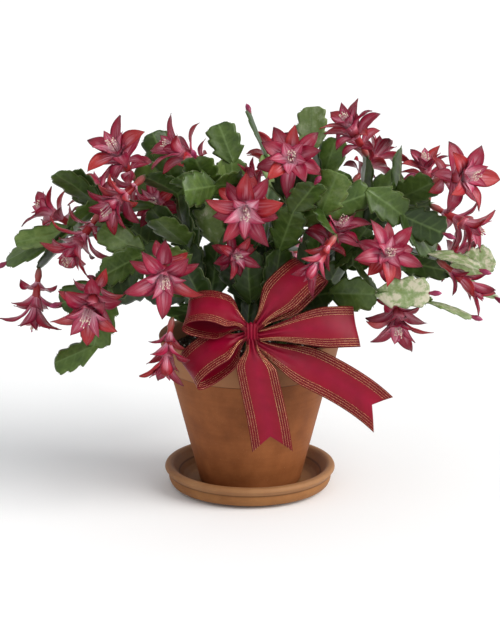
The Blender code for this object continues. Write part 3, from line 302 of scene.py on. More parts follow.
# each stem's pads: the pad that it grows from (-1 for the soil), its far end (mm), its roll in
# degrees, its width (mm) and what its end holds, if anything
stemPads = (
    (
        (-1, 9.2, -8.6, 198.1, -165, 17.7), (0, 13.8, -21.3, 247.4, -152, 31.8),
        (1, 16.9, -51.1, 288.4, 57, 31.1, "bloom"), (0, 48.6, 5.8, 219.6, 102, 29.4),
    ),
    (
        (-1, -35.8, 25.1, 187.3, -96, 20.3), (0, -55.2, 47, 227, -110, 31.1),
        (1, -81.8, 38.9, 263.6, -97, 30.4, "bloom"), (1, -66.6, 56.9, 263.5, 150, 29.8),
        (3, -78.6, 59.2, 301.1, 94, 30.7), (4, -95, 70, 335, 134, 29.1),
    ),
    (
        (-1, 21.1, -27.2, 193.3, 158, 19.2), (0, 27.9, -24.2, 241.1, 80, 30.4),
        (1, 32.8, -22.9, 289.1, 127, 31.3), (2, 39.4, -49.7, 325.5, 140, 31.4, "bloom"),
        (1, 39.4, -48, 272.5, -178, 30.6), (4, 65.9, -76.4, 289.7, 129, 28.7),
        (5, 77.2, -106.6, 273.4, 131, 32.2, "bloom"), (2, 15, -6.2, 328.5, 2, 30.7),
        (7, 0, 25, 362, 60, 29.6, "bud"), (4, 72, -70, 312, 166, 28.6),
        (5, 110, -64, 304, 88, 29.8), (10, 142.1, -53.8, 279.1, 83, 31.1),
        (11, 168, -58, 244, 29, 28.9), (0, 28, -45, 247, -180, 29.5),
        (13, 40, -78, 290, 152, 30.9), (12, 212, -70.8, 232.3, 8, 32.3, "bud"),
        (11, 178.7, -70.6, 266.5, 67, 30.8, "bud"), (14, 58.7, -103.4, 321, 152, 31.4, "bud"),
        (5, 79, -95.8, 329.2, 133, 31.2), (2, 57.7, -48, 325.9, 106, 30.7),
    ),
    (
        (-1, 4.4, 43, 193.9, 165, 19), (0, 10, 64.6, 239.3, -163, 31.3),
        (1, 18.9, 96.6, 276.8, -145, 29.2, "bloom"),
    ),
    (
        (-1, -35, -12.6, 195.2, -92, 19.7), (0, -29.5, -12.2, 244.1, 59, 29.2),
        (1, -16.2, -17, 291.4, 43, 32.4), (2, -31.5, -42.7, 321.7, 108, 30.2, "bloom"),
        (1, -46, -11.3, 281.6, -112, 30.3), (4, -73.7, 15.3, 299, -62, 30.4),
        (5, -110.7, 20.7, 299, -72, 32.8, "bloom"), (2, -17.4, -9.1, 324.7, -10, 29.2),
        (7, -30, 0, 356, -45, 29.5), (4, -47.3, -7.9, 326, -34, 30.7),
    ),
    (
        (-1, 53.6, 2.1, 190.5, 65, 18), (0, 81.7, 10.1, 231.2, 114, 32.8),
        (1, 104.6, 13.7, 275.3, 80, 30), (2, 110.8, 5.4, 323.8, 77, 32.5, "bloom"),
        (2, 147.5, 21.1, 298.9, 35, 31.2, "bud"),
    ),
    (
        (-1, -48.7, 36.9, 189.4, 164, 19), (0, -85.5, 55.4, 221.9, 42, 31.8),
        (1, -123.7, 81.4, 247.2, -2, 32.2, "bloom"),
    ),
    (
        (-1, 0.3, -34.8, 195.5, 93, 18.9), (0, -3.1, -34, 242.8, -76, 30.4),
        (1, -9.2, -37.8, 289.6, -138, 29.9), (2, -4, -74.4, 305.2, 163, 30.1, "bloom"),
        (0, -25, -17.5, 236.7, -66, 29.6, "bloom"), (2, -39.2, -54.6, 308.4, -145, 30.5),
        (5, -66, -82, 322, -138, 29.6), (2, -10, -57.2, 312.8, 143, 30.5),
        (7, -34, -84, 314, -124, 31), (8, -59.3, -116.5, 316.5, -71, 31.6),
        (5, -49.6, -82.5, 340.6, -154, 30.8, "bud"),
    ),
    (
        (-1, 46.1, 29.6, 198.2, -149, 20.3), (0, 66.1, 32.9, 248.6, -159, 32.7),
        (1, 98.7, 46.4, 289.2, -135, 30.4, "bloom"), (1, 70, 39.6, 287.1, 162, 31.2),
        (3, 60.2, 47.7, 324.8, 51, 32.1), (4, 60, 60, 362, 155, 31.6),
        (3, 84.1, 55, 332.1, -179, 32.1, "bud"), (0, 92.9, 23.8, 208.5, -113, 30.7),
    ),
    (
        (-1, -51.8, -6.5, 194.9, -160, 18.1), (0, -58.8, -10.1, 243.9, -147, 31.9),
        (1, -66.9, -15.9, 292.5, 176, 30.2), (2, -97.5, -36.2, 313.5, -150, 30.2, "bloom"),
        (1, -92.5, -14.1, 278.9, -129, 28.9), (4, -139.2, -28.1, 278.1, -142, 30.3, "bloom"),
        (1, -86.8, -40.1, 274.1, -149, 31.3), (0, -95.5, -15.5, 220.2, -113, 28.8),
        (7, -119, -43.9, 247.6, -140, 29.4), (2, -79.5, -22.3, 339.6, -148, 29),
    ),
    (
        (-1, 42.1, -20.9, 189.1, 106, 18.9), (0, 61.6, -13.4, 226.9, 108, 31.5),
        (1, 89.7, -5.4, 258.7, 146, 31.2), (2, 127.8, -0.3, 277.9, 112, 29.7),
        (3, 170.7, -1.8, 278.5, 123, 32.2, "bloom"), (3, 172.3, 42.6, 271.4, -7, 30, "bloom"),
        (0, 65.4, -44, 240.1, -144, 29, "bloom"), (0, 78.6, -48.9, 205.3, 68, 29),
        (7, 117.7, -61.9, 207.6, 92, 31.9, "bud"), (1, 71.4, -2.3, 271.8, 83, 31.7),
        (9, 89.4, 2.6, 309.4, 99, 28.6),
    ),
    (
        (-1, -7.4, 60.8, 186.2, 161, 20.2), (0, -10, 83.6, 222.9, -172, 31.3),
        (1, -11.7, 118.4, 247.8, -177, 29.6, "bloom"), (0, 16.5, 89.3, 213.6, -160, 29.5),
        (3, 43.9, 127.4, 208.5, -155, 31.2, "bloom"), (0, -0.7, 94.1, 208.1, -147, 28.7),
        (3, 12.2, 115, 246.5, -167, 30.6),
    ),
    (
        (-1, -41.5, -42.9, 189.7, -114, 20.3), (0, -61.6, -46.1, 230.7, -122, 31.8),
        (1, -81.9, -75.6, 249.7, -138, 30.8, "bloom"), (1, -101.1, -50.5, 242.7, -50, 30.9),
        (3, -136.8, -68.5, 226.5, -97, 30.8, "bloom"), (0, -71.4, -90.2, 191.8, 156, 32.5, "bloom"),
        (3, -132.6, -52.1, 207.9, -65, 32.7), (6, -146, -62, 156, -47, 29.8),
        (7, -183.3, -57.4, 138, -40, 31.1), (6, -175.4, -70.6, 200.4, -58, 30.5, "bud"),
        (3, -138.8, -50.6, 267.6, -62, 28.9),
    ),
    (
        (-1, 63.4, 2.9, 186, 69, 18.4), (0, 85.7, 0, 222.9, 129, 29.2),
        (1, 110.6, -4.1, 257.9, 106, 29), (2, 139.2, -14.1, 288.5, 118, 29.7),
        (3, 170.6, -35.2, 308.7, 119, 31.4, "bloom"), (1, 101.2, -26.3, 240.4, -150, 32.8),
        (5, 117.3, -60.6, 240.7, 29, 30.7, "bloom"), (5, 136.2, -41.5, 250, 115, 31.6),
        (7, 174, -51.3, 237.3, 170, 32.2, "bloom"), (1, 116.6, -10, 228.3, 25, 28.9),
        (9, 140.5, -26.7, 209.4, 119, 31.8, "bloom"), (9, 144.7, 13.6, 218.2, 11, 31.1),
        (11, 167.8, 46.6, 207.3, 63, 29.8, "bloom"), (3, 140, -22, 338, -120, 32.8),
        (11, 191.7, -1.5, 213.1, 39, 28.7), (14, 232, -30, 195, -1, 30.3, "bud"),
        (5, 98.3, -64.5, 240.2, -145, 32.1), (16, 119, -92, 216, -34, 29.9),
        (17, 166, -66, 200, -35, 28.7), (14, 232.4, 8.1, 226.3, 62, 29.1),
        (18, 205.8, -66.3, 187, -10, 30.4, "bud"), (17, 163.8, -99.8, 217.9, 65, 28.6, "bud"),
    ),
    (
        (-1, -60.7, 32.6, 184.5, 93, 18), (0, -85.7, 40.7, 219.1, 70, 29.4),
        (1, -118, 51.4, 245.6, 120, 32.6), (2, -157.3, 67.4, 247.6, 172, 30.3, "bloom"),
        (2, -161.8, 24.3, 247.5, 33, 31.8, "bloom"), (2, -144.1, 26.7, 272.5, 35, 32.6),
        (5, -172.6, -2.5, 254.4, 58, 32.3), (6, -200.4, -6.1, 218, -145, 31.2, "bloom"),
        (6, -232, 0, 222, -32, 29.7, "bud"), (6, -222, -12, 244, -31, 29),
        (5, -184, 5, 308, 39, 28.9), (5, -173.3, 33.7, 300.8, 93, 29.7),
        (0, -104.9, 53.3, 179.5, 63, 30.3), (12, -148.7, 68.8, 165.9, 50, 30.5),
        (12, -151.3, 71, 188.3, 33, 32.5, "bud"), (13, -187.2, 95.9, 161, 40, 31),
    ),
)


def bezier(corners, share):
    rest = 1 - share
    weights = (rest ** 3, 3 * rest ** 2 * share, 3 * rest * share ** 2, share ** 3)
    return sum((corner * weight for corner, weight in zip(corners, weights)), Vector())


def rootPlace(number):
    radius = rootShape["spread"] * math.sqrt((number + 0.5) / len(stemPads))
    turn = rootShape["goldenTurn"] * number + rootShape["firstTurn"]
    return around(turn, radius, soilTop)


class Pad:
    def __init__(self, start, parent, end, roll, width, holds):
        run = end - start
        self.axis = run.normalized()
        bend = parent.axis.angle(self.axis) if parent else 0.0
        sink = padShape["sink"] * (0.55 + 0.45 * math.cos(bend))
        turn = self.axis.to_track_quat("X", "Z").to_matrix() @ Matrix.Rotation(math.radians(roll), 3, "X")
        self.frame = turn.to_4x4()
        self.frame.translation = start - self.axis * sink
        self.normal = turn.col[2].copy()
        self.end = end
        self.length = run.length + sink
        self.width = width * mm
        self.holds = holds
        self.children = 0


def stemOf(number, rows):
    pads = []
    for origin, x, y, z, roll, width, *holds in rows:
        parent = pads[origin] if origin >= 0 else None
        start = parent.end if parent else rootPlace(number) + up * rootShape["aboveSoil"]
        pads.append(Pad(start, parent, Vector((x, y, z)) * mm, roll, width, "".join(holds)))
        if parent:
            parent.children += 1
    return pads


class Bloom:
    def __init__(self, name, throat, facing, openness, size, phase):
        facing = Vector(facing).normalized()
        self.name = name
        self.frame = up.rotation_difference(facing).to_matrix().to_4x4()
        throatHeight = (bloomShape["tubeLength"] + bloomShape["heart"]) * size
        self.frame.translation = Vector(throat) * mm - facing * throatHeight
        self.openness = openness
        self.size = size
        self.phase = phase


def bloomOf(number, row):
    if number < frontBlooms:
        return Bloom(*row, frontPhase * number)
    return Bloom(*row, backPhase * int(row[0].rpartition("_")[2]))


stems = [stemOf(number, rows) for number, rows in enumerate(stemPads)]
blooms = [bloomOf(number, row) for number, row in enumerate(bloomPlaces)]
print("plant laid out:", sum(len(pads) for pads in stems), "pads,", len(blooms), "blooms")


# Making pieces
def newMaterial(name):
    material = bpy.data.materials.new(name)
    material.use_nodes = True
    return TreeMaker(material.node_tree, material)


# the relief is (height, strength, distance), and more goes to the shader's sockets by name
def setSkin(make, colour, roughness, relief=(), more=()):
    shader = make.tree.nodes["Principled BSDF"]
    for name, value in {"Base Color": colour, "Roughness": roughness, **dict(more)}.items():
        make.feed(shader.inputs[name], value)
    if relief:
        height, strength, distance = relief
        normal = make.add("ShaderNodeBump", {"Strength": strength, "Distance": distance, "Height": height})
        make.feed(shader.inputs["Normal"], normal)
    return make.owner


def addPiece(name, mesh, *materials):
    piece = bpy.data.objects.new(name, mesh)
    bpy.context.scene.collection.objects.link(piece)
    for material in materials:
        mesh.materials.append(material)
    return piece


def meshOf(name, points, faces):
    mesh = bpy.data.meshes.new(name)
    mesh.from_pydata([tuple(point) for point in points], [], faces)
    mesh.update()
    return mesh


# what the modifiers make becomes the piece's own mesh
def settle(piece):
    bpy.context.view_layer.update()
    graph = bpy.context.evaluated_depsgraph_get()
    mesh = bpy.data.meshes.new_from_object(piece.evaluated_get(graph))
    piece.modifiers.clear()
    piece.data = mesh
    return mesh


def finishPiece(piece, slot, *nodes):
    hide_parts(*nodes)
    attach(piece, "root")


def runTree(piece, tree, inputs):
    grow = piece.modifiers.new("grow", "NODES")
    grow.node_group = tree
    for item in tree.interface.items_tree:
        if item.in_out == "INPUT" and item.name in inputs:
            grow[item.identifier] = inputs[item.name]


def newGeometryTree(name, inputs):
    tree = bpy.data.node_groups.new(name, "GeometryNodeTree")
    tree.interface.new_socket("Geometry", in_out="INPUT", socket_type="NodeSocketGeometry")
    for label, kind in inputs:
        tree.interface.new_socket(label, in_out="INPUT", socket_type="NodeSocket" + kind)
    tree.interface.new_socket("Geometry", in_out="OUTPUT", socket_type="NodeSocketGeometry")
    entry = tree.nodes.new("NodeGroupInput")
    leave = tree.nodes.new("NodeGroupOutput")
    return TreeMaker(tree), entry.outputs, leave.inputs["Geometry"]


def finishTree(make, geometry, material, out):
    smooth = make.add("GeometryNodeSetShadeSmooth", {"Geometry": geometry})
    make.feed(out, make.add("GeometryNodeSetMaterial", {"Geometry": smooth, "Material": material}))
    return make.tree


# A blade is a grid from its root to its tip, with a top and an under side that meet at the edge.
# x is the share of its length, y the share of its half width, and side says which face it is.
def bladeGrid(name, stations, across, spikes=()):
    points, faces, sides = [], [], []
    for side in (1.0, -1.0):
        start = len(points)
        for station in stations:
            for column in range(across + 1):
                points.append((station, 2 * column / across - 1, 0.0))
                sides.append(side)
        for here, beside, over, on in gridFaces(len(stations), across + 1):
            face = (here, on, over, beside) if side > 0 else (beside, over, on, here)
            faces.append(tuple(start + corner for corner in face))
    for place, reach in spikes:
        for edge in (-1.0, 1.0):
            start = len(points)
            points += [(place - 0.009, edge * 0.86, -0.0002), (place + 0.009, edge * 0.86, -0.0002),
                       (place, edge * 0.86, 0.0003), (place + 0.015, edge * reach, 0.0)]
            sides += [0.0] * 4
            ring = [(0, 1, 2), (0, 3, 1), (1, 3, 2), (2, 3, 0)]
            if edge > 0:
                ring = [corner[::-1] for corner in ring]
            faces += [tuple(start + corner for corner in face) for face in ring]
    mesh = withLabel(meshOf(name, points, faces), "side", sides)
    layer = mesh.uv_layers.new(name="UVMap")
    for loop in mesh.loops:
        x, y, z = points[loop.vertex_index]
        layer.data[loop.index].uv = (x, 0.5 + 0.5 * y)
    return bpy.data.objects.new(name, mesh)


bladeInputs = (("Blade", "Object"), ("Skew", "Float"), ("Ripple", "Float"), ("Material", "Material"))
bladeNumbers = ("reach", "width", "thick", "bendStart", "bendRate", "cup", "twist", "seed")
bladeVectors = ("origin", "lead", "lean")


# the shape stands on every point: its mesh, what the point's attributes say, and where it is
def growOnPoints(make, given, shape, numbers, vectors):
    shape = make.add("GeometryNodeObjectInfo", {"Object": given[shape]}, pick=-1)
    many = make.add("GeometryNodeInstanceOnPoints", {"Points": given["Geometry"], "Instance": shape})
    value = {}
    for labels, kind in ((numbers, "FLOAT"), (vectors, "FLOAT_VECTOR")):
        for label in labels:
            value[label] = make.add("GeometryNodeInputNamedAttribute", {"Name": label}, data_type=kind)
    place = make.vector("SUBTRACT", make.add("GeometryNodeInputPosition"), value["origin"])
    return make.add("GeometryNodeRealizeInstances", {"Geometry": many}), value, make.split(place)


def makeBladeTree(name, outline, thickAlong, thickAcross):
    make, given, out = newGeometryTree(name, bladeInputs)
    real, value, place = growOnPoints(make, given, "Blade", bladeNumbers + ("side",), bladeVectors)
    along, across, lift = place
    edge = make.math("MINIMUM", make.math("ABSOLUTE", across), 1.0)

    half = make.product(value["width"], 0.5, make.curve(along, outline))
    thick = make.product(value["thick"], 0.5, value["side"],
                         make.math("MAXIMUM", make.curve(along, thickAlong), 0.0),
                         make.math("MAXIMUM", make.curve(edge, thickAcross), 0.0))

    # the teeth of one edge stand a little further on than those of the other
    shift = make.product(make.math("SIGN", across), edge, given["Skew"])
    along = make.plus(along, make.product(shift, along, make.minus(1.0, along)))

    # the middle line is an arc that starts at bendStart and turns by bendRate
    angle = make.plus(value["bendStart"], make.product(value["bendRate"], along))
    scale = make.math("DIVIDE", value["reach"], value["bendRate"])
    ahead = make.product(scale, make.minus(make.math("SINE", angle),
                                          make.math("SINE", value["bendStart"])))
    aside = make.product(scale, make.minus(make.math("COSINE", value["bendStart"]),
                                          make.math("COSINE", angle)))

    face = make.vector("SUBTRACT", make.times(value["lead"], make.math("SINE", angle)),
                       make.times(value["lean"], make.math("COSINE", angle)))
    beside = make.vector("CROSS_PRODUCT", value["lead"], value["lean"])
    roll = make.product(value["twist"], along)
    turn, rise = make.math("COSINE", roll), make.math("SINE", roll)
    side = make.total(make.times(beside, turn), make.times(face, rise))
    front = make.vector("SUBTRACT", make.times(face, turn), make.times(beside, rise))

    bowl = make.product(value["cup"], half, edge, edge)
    spot = make.add("ShaderNodeCombineXYZ", (make.product(along, 2.6),
                                             make.product(across, 0.9), value["seed"]))
    wave = make.add("ShaderNodeTexNoise", {"Vector": spot, "Scale": 1.0, "Detail": 1.0})
    wave = make.product(make.minus(wave, 0.5), given["Ripple"], value["reach"],
                        make.math("MINIMUM", make.product(along, 4.0), 1.0))
    outward = make.plus(make.plus(thick, lift), make.plus(bowl, wave))
    spread = make.product(across, half)
    moved = make.total(value["origin"], make.times(value["lead"], ahead), make.times(value["lean"], aside),
                       make.times(side, spread), make.times(front, outward))
    shaped = make.add("GeometryNodeSetPosition", {"Geometry": real, "Position": moved})
    welded = make.add("GeometryNodeMergeByDistance", {"Geometry": shaped, "Distance": 0.00002})
    return finishTree(make, welded, given["Material"], out)


# one point for each blade, which carries all that its shape needs
def growBlades(name, blades, tree, grid, look, material):
    mesh = meshOf(name, [blade["origin"] for blade in blades], [])
    for label in bladeNumbers + ("tone",) + bladeVectors:
        withLabel(mesh, label, [blade[label] for blade in blades])
    piece = addPiece(name, mesh)
    runTree(piece, tree, {"Blade": grid, "Skew": look["skew"], "Ripple": look["ripple"],
                          "Material": material})
    dropLabels(settle(piece), bladeNumbers + bladeVectors + ("side",))
    return piece


# one mesh from several finished ones, with all their materials
def joinPieces(name, pieces):
    shape = bmesh.new()
    materials = []
    for piece in pieces:
        mesh = piece.data
        order = []
        for material in mesh.materials:
            if material not in materials:
                materials.append(material)
            order.append(materials.index(material))
        before = len(shape.faces)
        shape.from_mesh(mesh)
        shape.faces.ensure_lookup_table()
        for face in shape.faces[before:]:
            face.material_index = order[face.material_index] if order else 0
        bpy.data.objects.remove(piece, do_unlink=True)
    joinedMesh = bpy.data.meshes.new(name)
    shape.to_mesh(joinedMesh)
    shape.free()
    return addPiece(name, joinedMesh, *materials)


# Materials of the plant
def read(make, label):
    return make.add("ShaderNodeAttribute", attribute_name=label, pick=2)


def splitUv(make):
    uv = make.add("ShaderNodeUVMap", uv_map="UVMap")
    along, cross, deep = make.split(uv)
    return uv, along, cross, make.math("ABSOLUTE", make.line(cross, 2.0, -1.0))


def noise(make, place, scale, detail=3.0, roughness=0.5):
    return make.add("ShaderNodeTexNoise", {"Vector": place, "Scale": scale, "Detail": detail,
                                           "Roughness": roughness})


def stretched(make, place, scale):
    return make.add("ShaderNodeMapping", {"Vector": place, "Scale": scale})


def makePadMaterial():
    look = {
        "greens": ((0.0, (0.011, 0.025, 0.004)), (0.35, (0.032, 0.062, 0.009)),
                   (0.62, (0.075, 0.125, 0.021)), (0.82, (0.145, 0.205, 0.055)),
                   (0.93, (0.25, 0.31, 0.15)), (1.0, (0.50, 0.47, 0.34))),
        "dusty": (0.150, 0.185, 0.115),
        "midrib": (0.13, 0.20, 0.06),
        "edge": (0.20, 0.24, 0.10),
        "roughness": 0.34,
    }
    make = newMaterial("padSkin")
    uv, along, cross, middle = splitUv(make)
    place = make.place()
    cloud = noise(make, place, 55.0, 4.0, 0.6)
    fine = noise(make, place, 420.0, 3.0)
    mottle = noise(make, place, 170.0, 4.0, 0.65)
    dust = noise(make, make.vector("ADD", place, (0.31, 0.17, 0.05)), 38.0, 5.0, 0.7)
    tone = make.plus(read(make, "tone"), make.line(cloud, 0.62, -0.31))
    tone = make.plus(tone, make.line(mottle, 0.44, -0.23))
    base = make.ramp(make.plus(tone, make.line(fine, 0.12, -0.06)), look["greens"])
    base = make.blend(make.line(dust, 2.2, -1.24, clamp=True), base, look["dusty"])
    rib = make.math("MAXIMUM", make.math("SMOOTH_MIN", make.line(middle, -9.0, 1.0), 1.0, 0.2), 0.0)
    vein = make.add("ShaderNodeTexWave", {
        "Vector": make.add("ShaderNodeCombineXYZ", (make.line(middle, -0.16, along), cross, 0.0)),
        "Scale": 1.6, "Distortion": 1.2, "Detail": 2.0}, pick=1, bands_direction="X")
    vein = make.math("POWER", vein, 7.0)
    rim = make.line(middle, 14.0, -13.0, clamp=True)
    base = make.over(base, (make.product(rib, 0.60), look["midrib"]),
                     (make.product(vein, 0.30, make.minus(1.0, middle)), look["midrib"]),
                     (make.product(rim, 0.8), look["edge"]))
    height = make.plus(make.product(cloud, 0.5), make.product(fine, 0.25))
    height = make.plus(height, make.product(rib, 0.4))
    return setSkin(make, base, make.line(cloud, 0.22, look["roughness"] - 0.11), (height, 0.35, 0.0012), {
        "Specular IOR Level": 0.30,
    })


def makePetalMaterial():
    look = {
        "length": ((0.0, (0.88, 0.64, 0.70)), (0.14, (0.74, 0.30, 0.40)), (0.32, (0.48, 0.050, 0.120)),
                   (0.55, (0.32, 0.007, 0.040)), (0.82, (0.23, 0.003, 0.022)), (1.0, (0.085, 0.002, 0.010))),
        "flush": (0.40, 0.018, 0.010),
        # pale pink of the petal's own streaks, also laid on as painted highlight up the middle
        "pearl": (0.90, 0.54, 0.64),
        "shade": (0.080, 0.002, 0.016),
        "roughness": 0.30,
    }
    make = newMaterial("petalSkin")
    uv, along, cross, middle = splitUv(make)
    place = make.place()
    cloud = noise(make, place, 70.0, 2.0)
    apart = make.add("ShaderNodeCombineXYZ", (make.product(read(make, "tone"), 31.0), 0.0, 0.0))
    streak = noise(make, make.vector("ADD", stretched(make, uv, (2.2, 28.0, 1.0)), apart), 1.0, 4.0, 0.6)
    broad = noise(make, make.vector("ADD", stretched(make, uv, (1.4, 6.5, 1.0)), apart), 1.0, 2.0)
    # a tone below zero marks the small petals of the throat, which are paler
    throat = make.math("MULTIPLY", read(make, "tone"), -1.0, clamp=True)
    reach = make.line(throat, -0.42, along)
    base = make.ramp(make.plus(reach, make.line(cloud, 0.24, -0.12)), look["length"])
    warm = make.line(read(make, "tone"), 2.4, -1.35, clamp=True)
    warm = make.product(warm, 0.8, make.line(along, 2.2, -0.2, clamp=True))
    base = make.over(base, (warm, look["flush"]))

    # a pale streak runs up the middle from the throat, partly the petal's own colour and partly painted
    # highlight, and the margins are darker
    inner = make.line(middle, -1.5, 1.15, clamp=True)
    fade = make.line(reach, -1.9, 1.45, clamp=True)
    pearl = make.line(broad, 5.0, -2.0, clamp=True)
    fine = make.line(streak, 5.0, -2.3, clamp=True)
    dark = make.line(streak, -5.0, 2.2, clamp=True)
    rim = make.line(middle, 3.0, -2.2, clamp=True)
    base = make.over(base, (make.product(pearl, inner, fade, 0.85), look["pearl"]),
                     (make.product(fine, inner, 0.13), look["pearl"]),
                     (make.product(dark, 0.26), look["shade"]),
                     (make.product(rim, 0.42), look["shade"]))
    return setSkin(make, base, make.line(streak, 0.25, look["roughness"] - 0.12), (streak, 0.4, 0.0008), {
        "Sheen Weight": 0.05,
        "Sheen Roughness": 0.35,
        "Sheen Tint": (1.0, 0.45, 0.60, 1.0),
        "Specular IOR Level": 0.32,
        "Subsurface Weight": 0.08,
        "Subsurface Radius": (0.006, 0.0015, 0.0015),
    })


def makeTubeMaterial():
    make = newMaterial("bloomTube")
    place = make.place()
    rise = read(make, "rise")
    patch = noise(make, place, 160.0, 3.0)
    base = make.ramp(make.plus(rise, make.line(patch, 0.2, -0.1)),
                     ((0.0, (0.06, 0.09, 0.02)), (0.10, (0.34, 0.10, 0.09)), (0.35, (0.38, 0.030, 0.028)),
                      (0.8, (0.36, 0.024, 0.036)), (1.0, (0.50, 0.13, 0.18))))
    return setSkin(make, base, make.line(patch, 0.25, 0.25), (patch, 0.3, 0.0006), {
        "Subsurface Weight": 0.1,
        "Subsurface Radius": (0.006, 0.002, 0.002),
    })


def makeThreadMaterial(name, stops, roughness):
    make = newMaterial(name)
    place = make.place()
    grain = noise(make, place, 900.0, 2.0)
    base = make.ramp(read(make, "rise"), stops)
    base = make.blend(make.line(grain, 0.8, -0.3, clamp=True), base, (0.5, 0.35, 0.3), "MULTIPLY")
    return setSkin(make, base, make.line(grain, 0.2, roughness))


padMaterial = makePadMaterial()
petalMaterial = makePetalMaterial()
tubeMaterial = makeTubeMaterial()
stamenMaterial = makeThreadMaterial("stamens", (
    (0.0, (0.72, 0.24, 0.32)), (0.4, (0.86, 0.62, 0.66)), (0.90, (0.88, 0.72, 0.74)),
    (0.93, (0.80, 0.66, 0.50)), (1.0, (0.86, 0.76, 0.62))), 0.35)
styleMaterial = makeThreadMaterial("styleThread", (
    (0.0, (0.40, 0.03, 0.09)), (0.9, (0.30, 0.008, 0.07)), (0.95, (0.42, 0.05, 0.14)),
    (1.0, (0.45, 0.1, 0.2))), 0.3)
budMaterial = makeThreadMaterial("budSkin", (
    (0.0, (0.07, 0.09, 0.02)), (0.25, (0.24, 0.014, 0.05)), (0.7, (0.22, 0.005, 0.055)),
    (1.0, (0.34, 0.03, 0.11))), 0.3)
barkMaterial = makeThreadMaterial("stemBark", (
    (0.0, (0.10, 0.065, 0.035)), (0.6, (0.13, 0.095, 0.05)), (1.0, (0.09, 0.13, 0.04))), 0.7)
print("plant materials made")


# Leafy stems
padLook = {
    "stations": (0.0, 0.03, 0.07, 0.12, 0.17, 0.22, 0.27, 0.32, 0.355, 0.38, 0.40, 0.45, 0.50, 0.55, 0.60,
                 0.64, 0.665, 0.685, 0.73, 0.78, 0.83, 0.87, 0.90, 0.92, 0.95, 0.98, 1.0),
    "across": 10,
    "rounds": 1.06,             # widest place against the solid's, as the teeth stand out
    "bow": 0.34,
    "twist": 0.22,
    "skew": 0.18,
    "ripple": 0.05,
    "spikes": ((0.395, 1.20), (0.68, 1.20), (0.93, 1.28)),
}
padGrid = bladeGrid("padGrid", padLook["stations"], padLook["across"], padLook["spikes"])
padTree = makeBladeTree(
    "growPads",
    ((0.0, 0.16), (0.07, 0.32), (0.22, 0.68), (0.32, 0.92), (0.355, 1.0), (0.38, 0.98), (0.40, 0.80),
     (0.50, 0.91), (0.60, 1.02), (0.64, 1.06), (0.665, 1.02), (0.685, 0.84), (0.78, 0.90), (0.87, 0.94),
     (0.90, 0.90), (0.92, 0.72), (0.98, 0.56), (1.0, 0.38)),
    ((0.0, 0.0), (0.04, 0.75), (0.15, 1.0), (0.80, 0.90), (0.96, 0.62), (1.0, 0.0)),
    ((0.0, 1.0), (0.09, 0.72), (0.22, 0.56), (0.70, 0.44), (0.93, 0.26), (1.0, 0.0)))


def padBlade(pad, draw):
    axis, face = pad.axis, pad.normal
    bow = draw.uniform(-1, 1) * padLook["bow"]
    if abs(bow) < 0.04:
        bow = 0.04
    return {
        "origin": pad.frame.translation.copy(), "lead": axis, "lean": -face,
        "reach": pad.length, "width": pad.width * padLook["rounds"], "thick": padShape["thickness"],
        "bendStart": -bow / 2, "bendRate": bow, "cup": draw.uniform(-0.16, 0.20),
        "twist": draw.uniform(-1, 1) * padLook["twist"],
        "seed": draw.uniform(0, 90), "tone": padTone(pad, draw),
    }


# old pads near the soil are dark; those at the tips and in the light are brighter
def padTone(pad, draw):
    place = pad.frame.translation
    height = (place.z - soilTop) / 0.2
    free = pad.children == 0 and pad.holds != "bloom"
    tone = 0.18 + 0.20 * height + 0.14 * free + draw.uniform(-0.24, 0.26)
    if draw.random() < 0.10:
        tone = min(tone + 0.30, 0.84)
    if free and place.x > 0.11 and place.z < 0.25 and draw.random() < 0.6:
        tone = 0.93
    return min(max(tone, 0.02), 0.97)


# Round tapering bodies along z, with their rise kept for their colour
def roundMesh(name, stations, sides):
    low, high = stations[0][0], stations[-1][0]
    points = [point for height, radius in stations for point in circle(sides, radius, height)]
    rises = [(height - low) / (high - low) for height, radius in stations for index in range(sides)]
    faces = gridFaces(len(stations), sides, closeColumns=True)
    faces += [tuple(reversed(range(sides))), tuple(range(len(points) - sides, len(points)))]
    return withLabel(meshOf(name, points, faces), "rise", rises)


def roundBody(name, stations, sides, place, material):
    mesh = roundMesh(name, stations, sides)
    mesh.transform(place)
    mesh.shade_smooth()
    return addPiece(name, mesh, material)


# even steps along (height, radius) points, eased between them
def smoothStations(points, count, scale=1.0):
    points = [(height * scale, radius * scale) for height, radius in points]
    made = []
    for step in range(count + 1):
        height = points[0][0] + (points[-1][0] - points[0][0]) * step / count
        for before, after in zip(points, points[1:]):
            if height <= after[0] + 1e-9:
                share = eased((height - before[0]) / (after[0] - before[0]))
                made.append((height, before[1] + (after[1] - before[1]) * share))
                break
    return made


# (height, radius) in mm
budLook = ((-3.0, 0.9), (0.0, 1.5), (1.6, 1.9), (4.6, 2.7), (8.0, 2.2), (10.2, 1.0), (11.0, 0.25))
pegLook = ((-14.0, 3.0), (-2.0, 3.1), (3.0, 2.7), (8.0, 2.5), (12.0, 1.6))


def leafyStem(number):
    name = f"leafyStem{number + 1:02d}"
    draw = random.Random(500 + number)
    pads = stems[number]
    blades = [padBlade(pad, draw) for pad in pads]
    leaves = growBlades(name + "Pads", blades, padTree, padGrid, padLook, padMaterial)
    root = Matrix.Translation(rootPlace(number))
    peg = roundBody("peg", smoothStations(pegLook, 12, mm), 12, root, barkMaterial)
    parts = [leaves, peg]
    for pad in pads:
        if pad.holds == "bud":
            place = pad.frame @ Matrix.Translation((pad.length, 0, 0)) @ Matrix.Rotation(math.pi / 2, 4, "Y")
            parts.append(roundBody("bud", smoothStations(budLook, 14, mm), 14, place, budMaterial))
    finishPiece(joinPieces(name, parts), "cactus_green", f"stem_{number + 1:02d}")


for number in range(len(stems)):
    leafyStem(number)
print("leafy stems dressed")


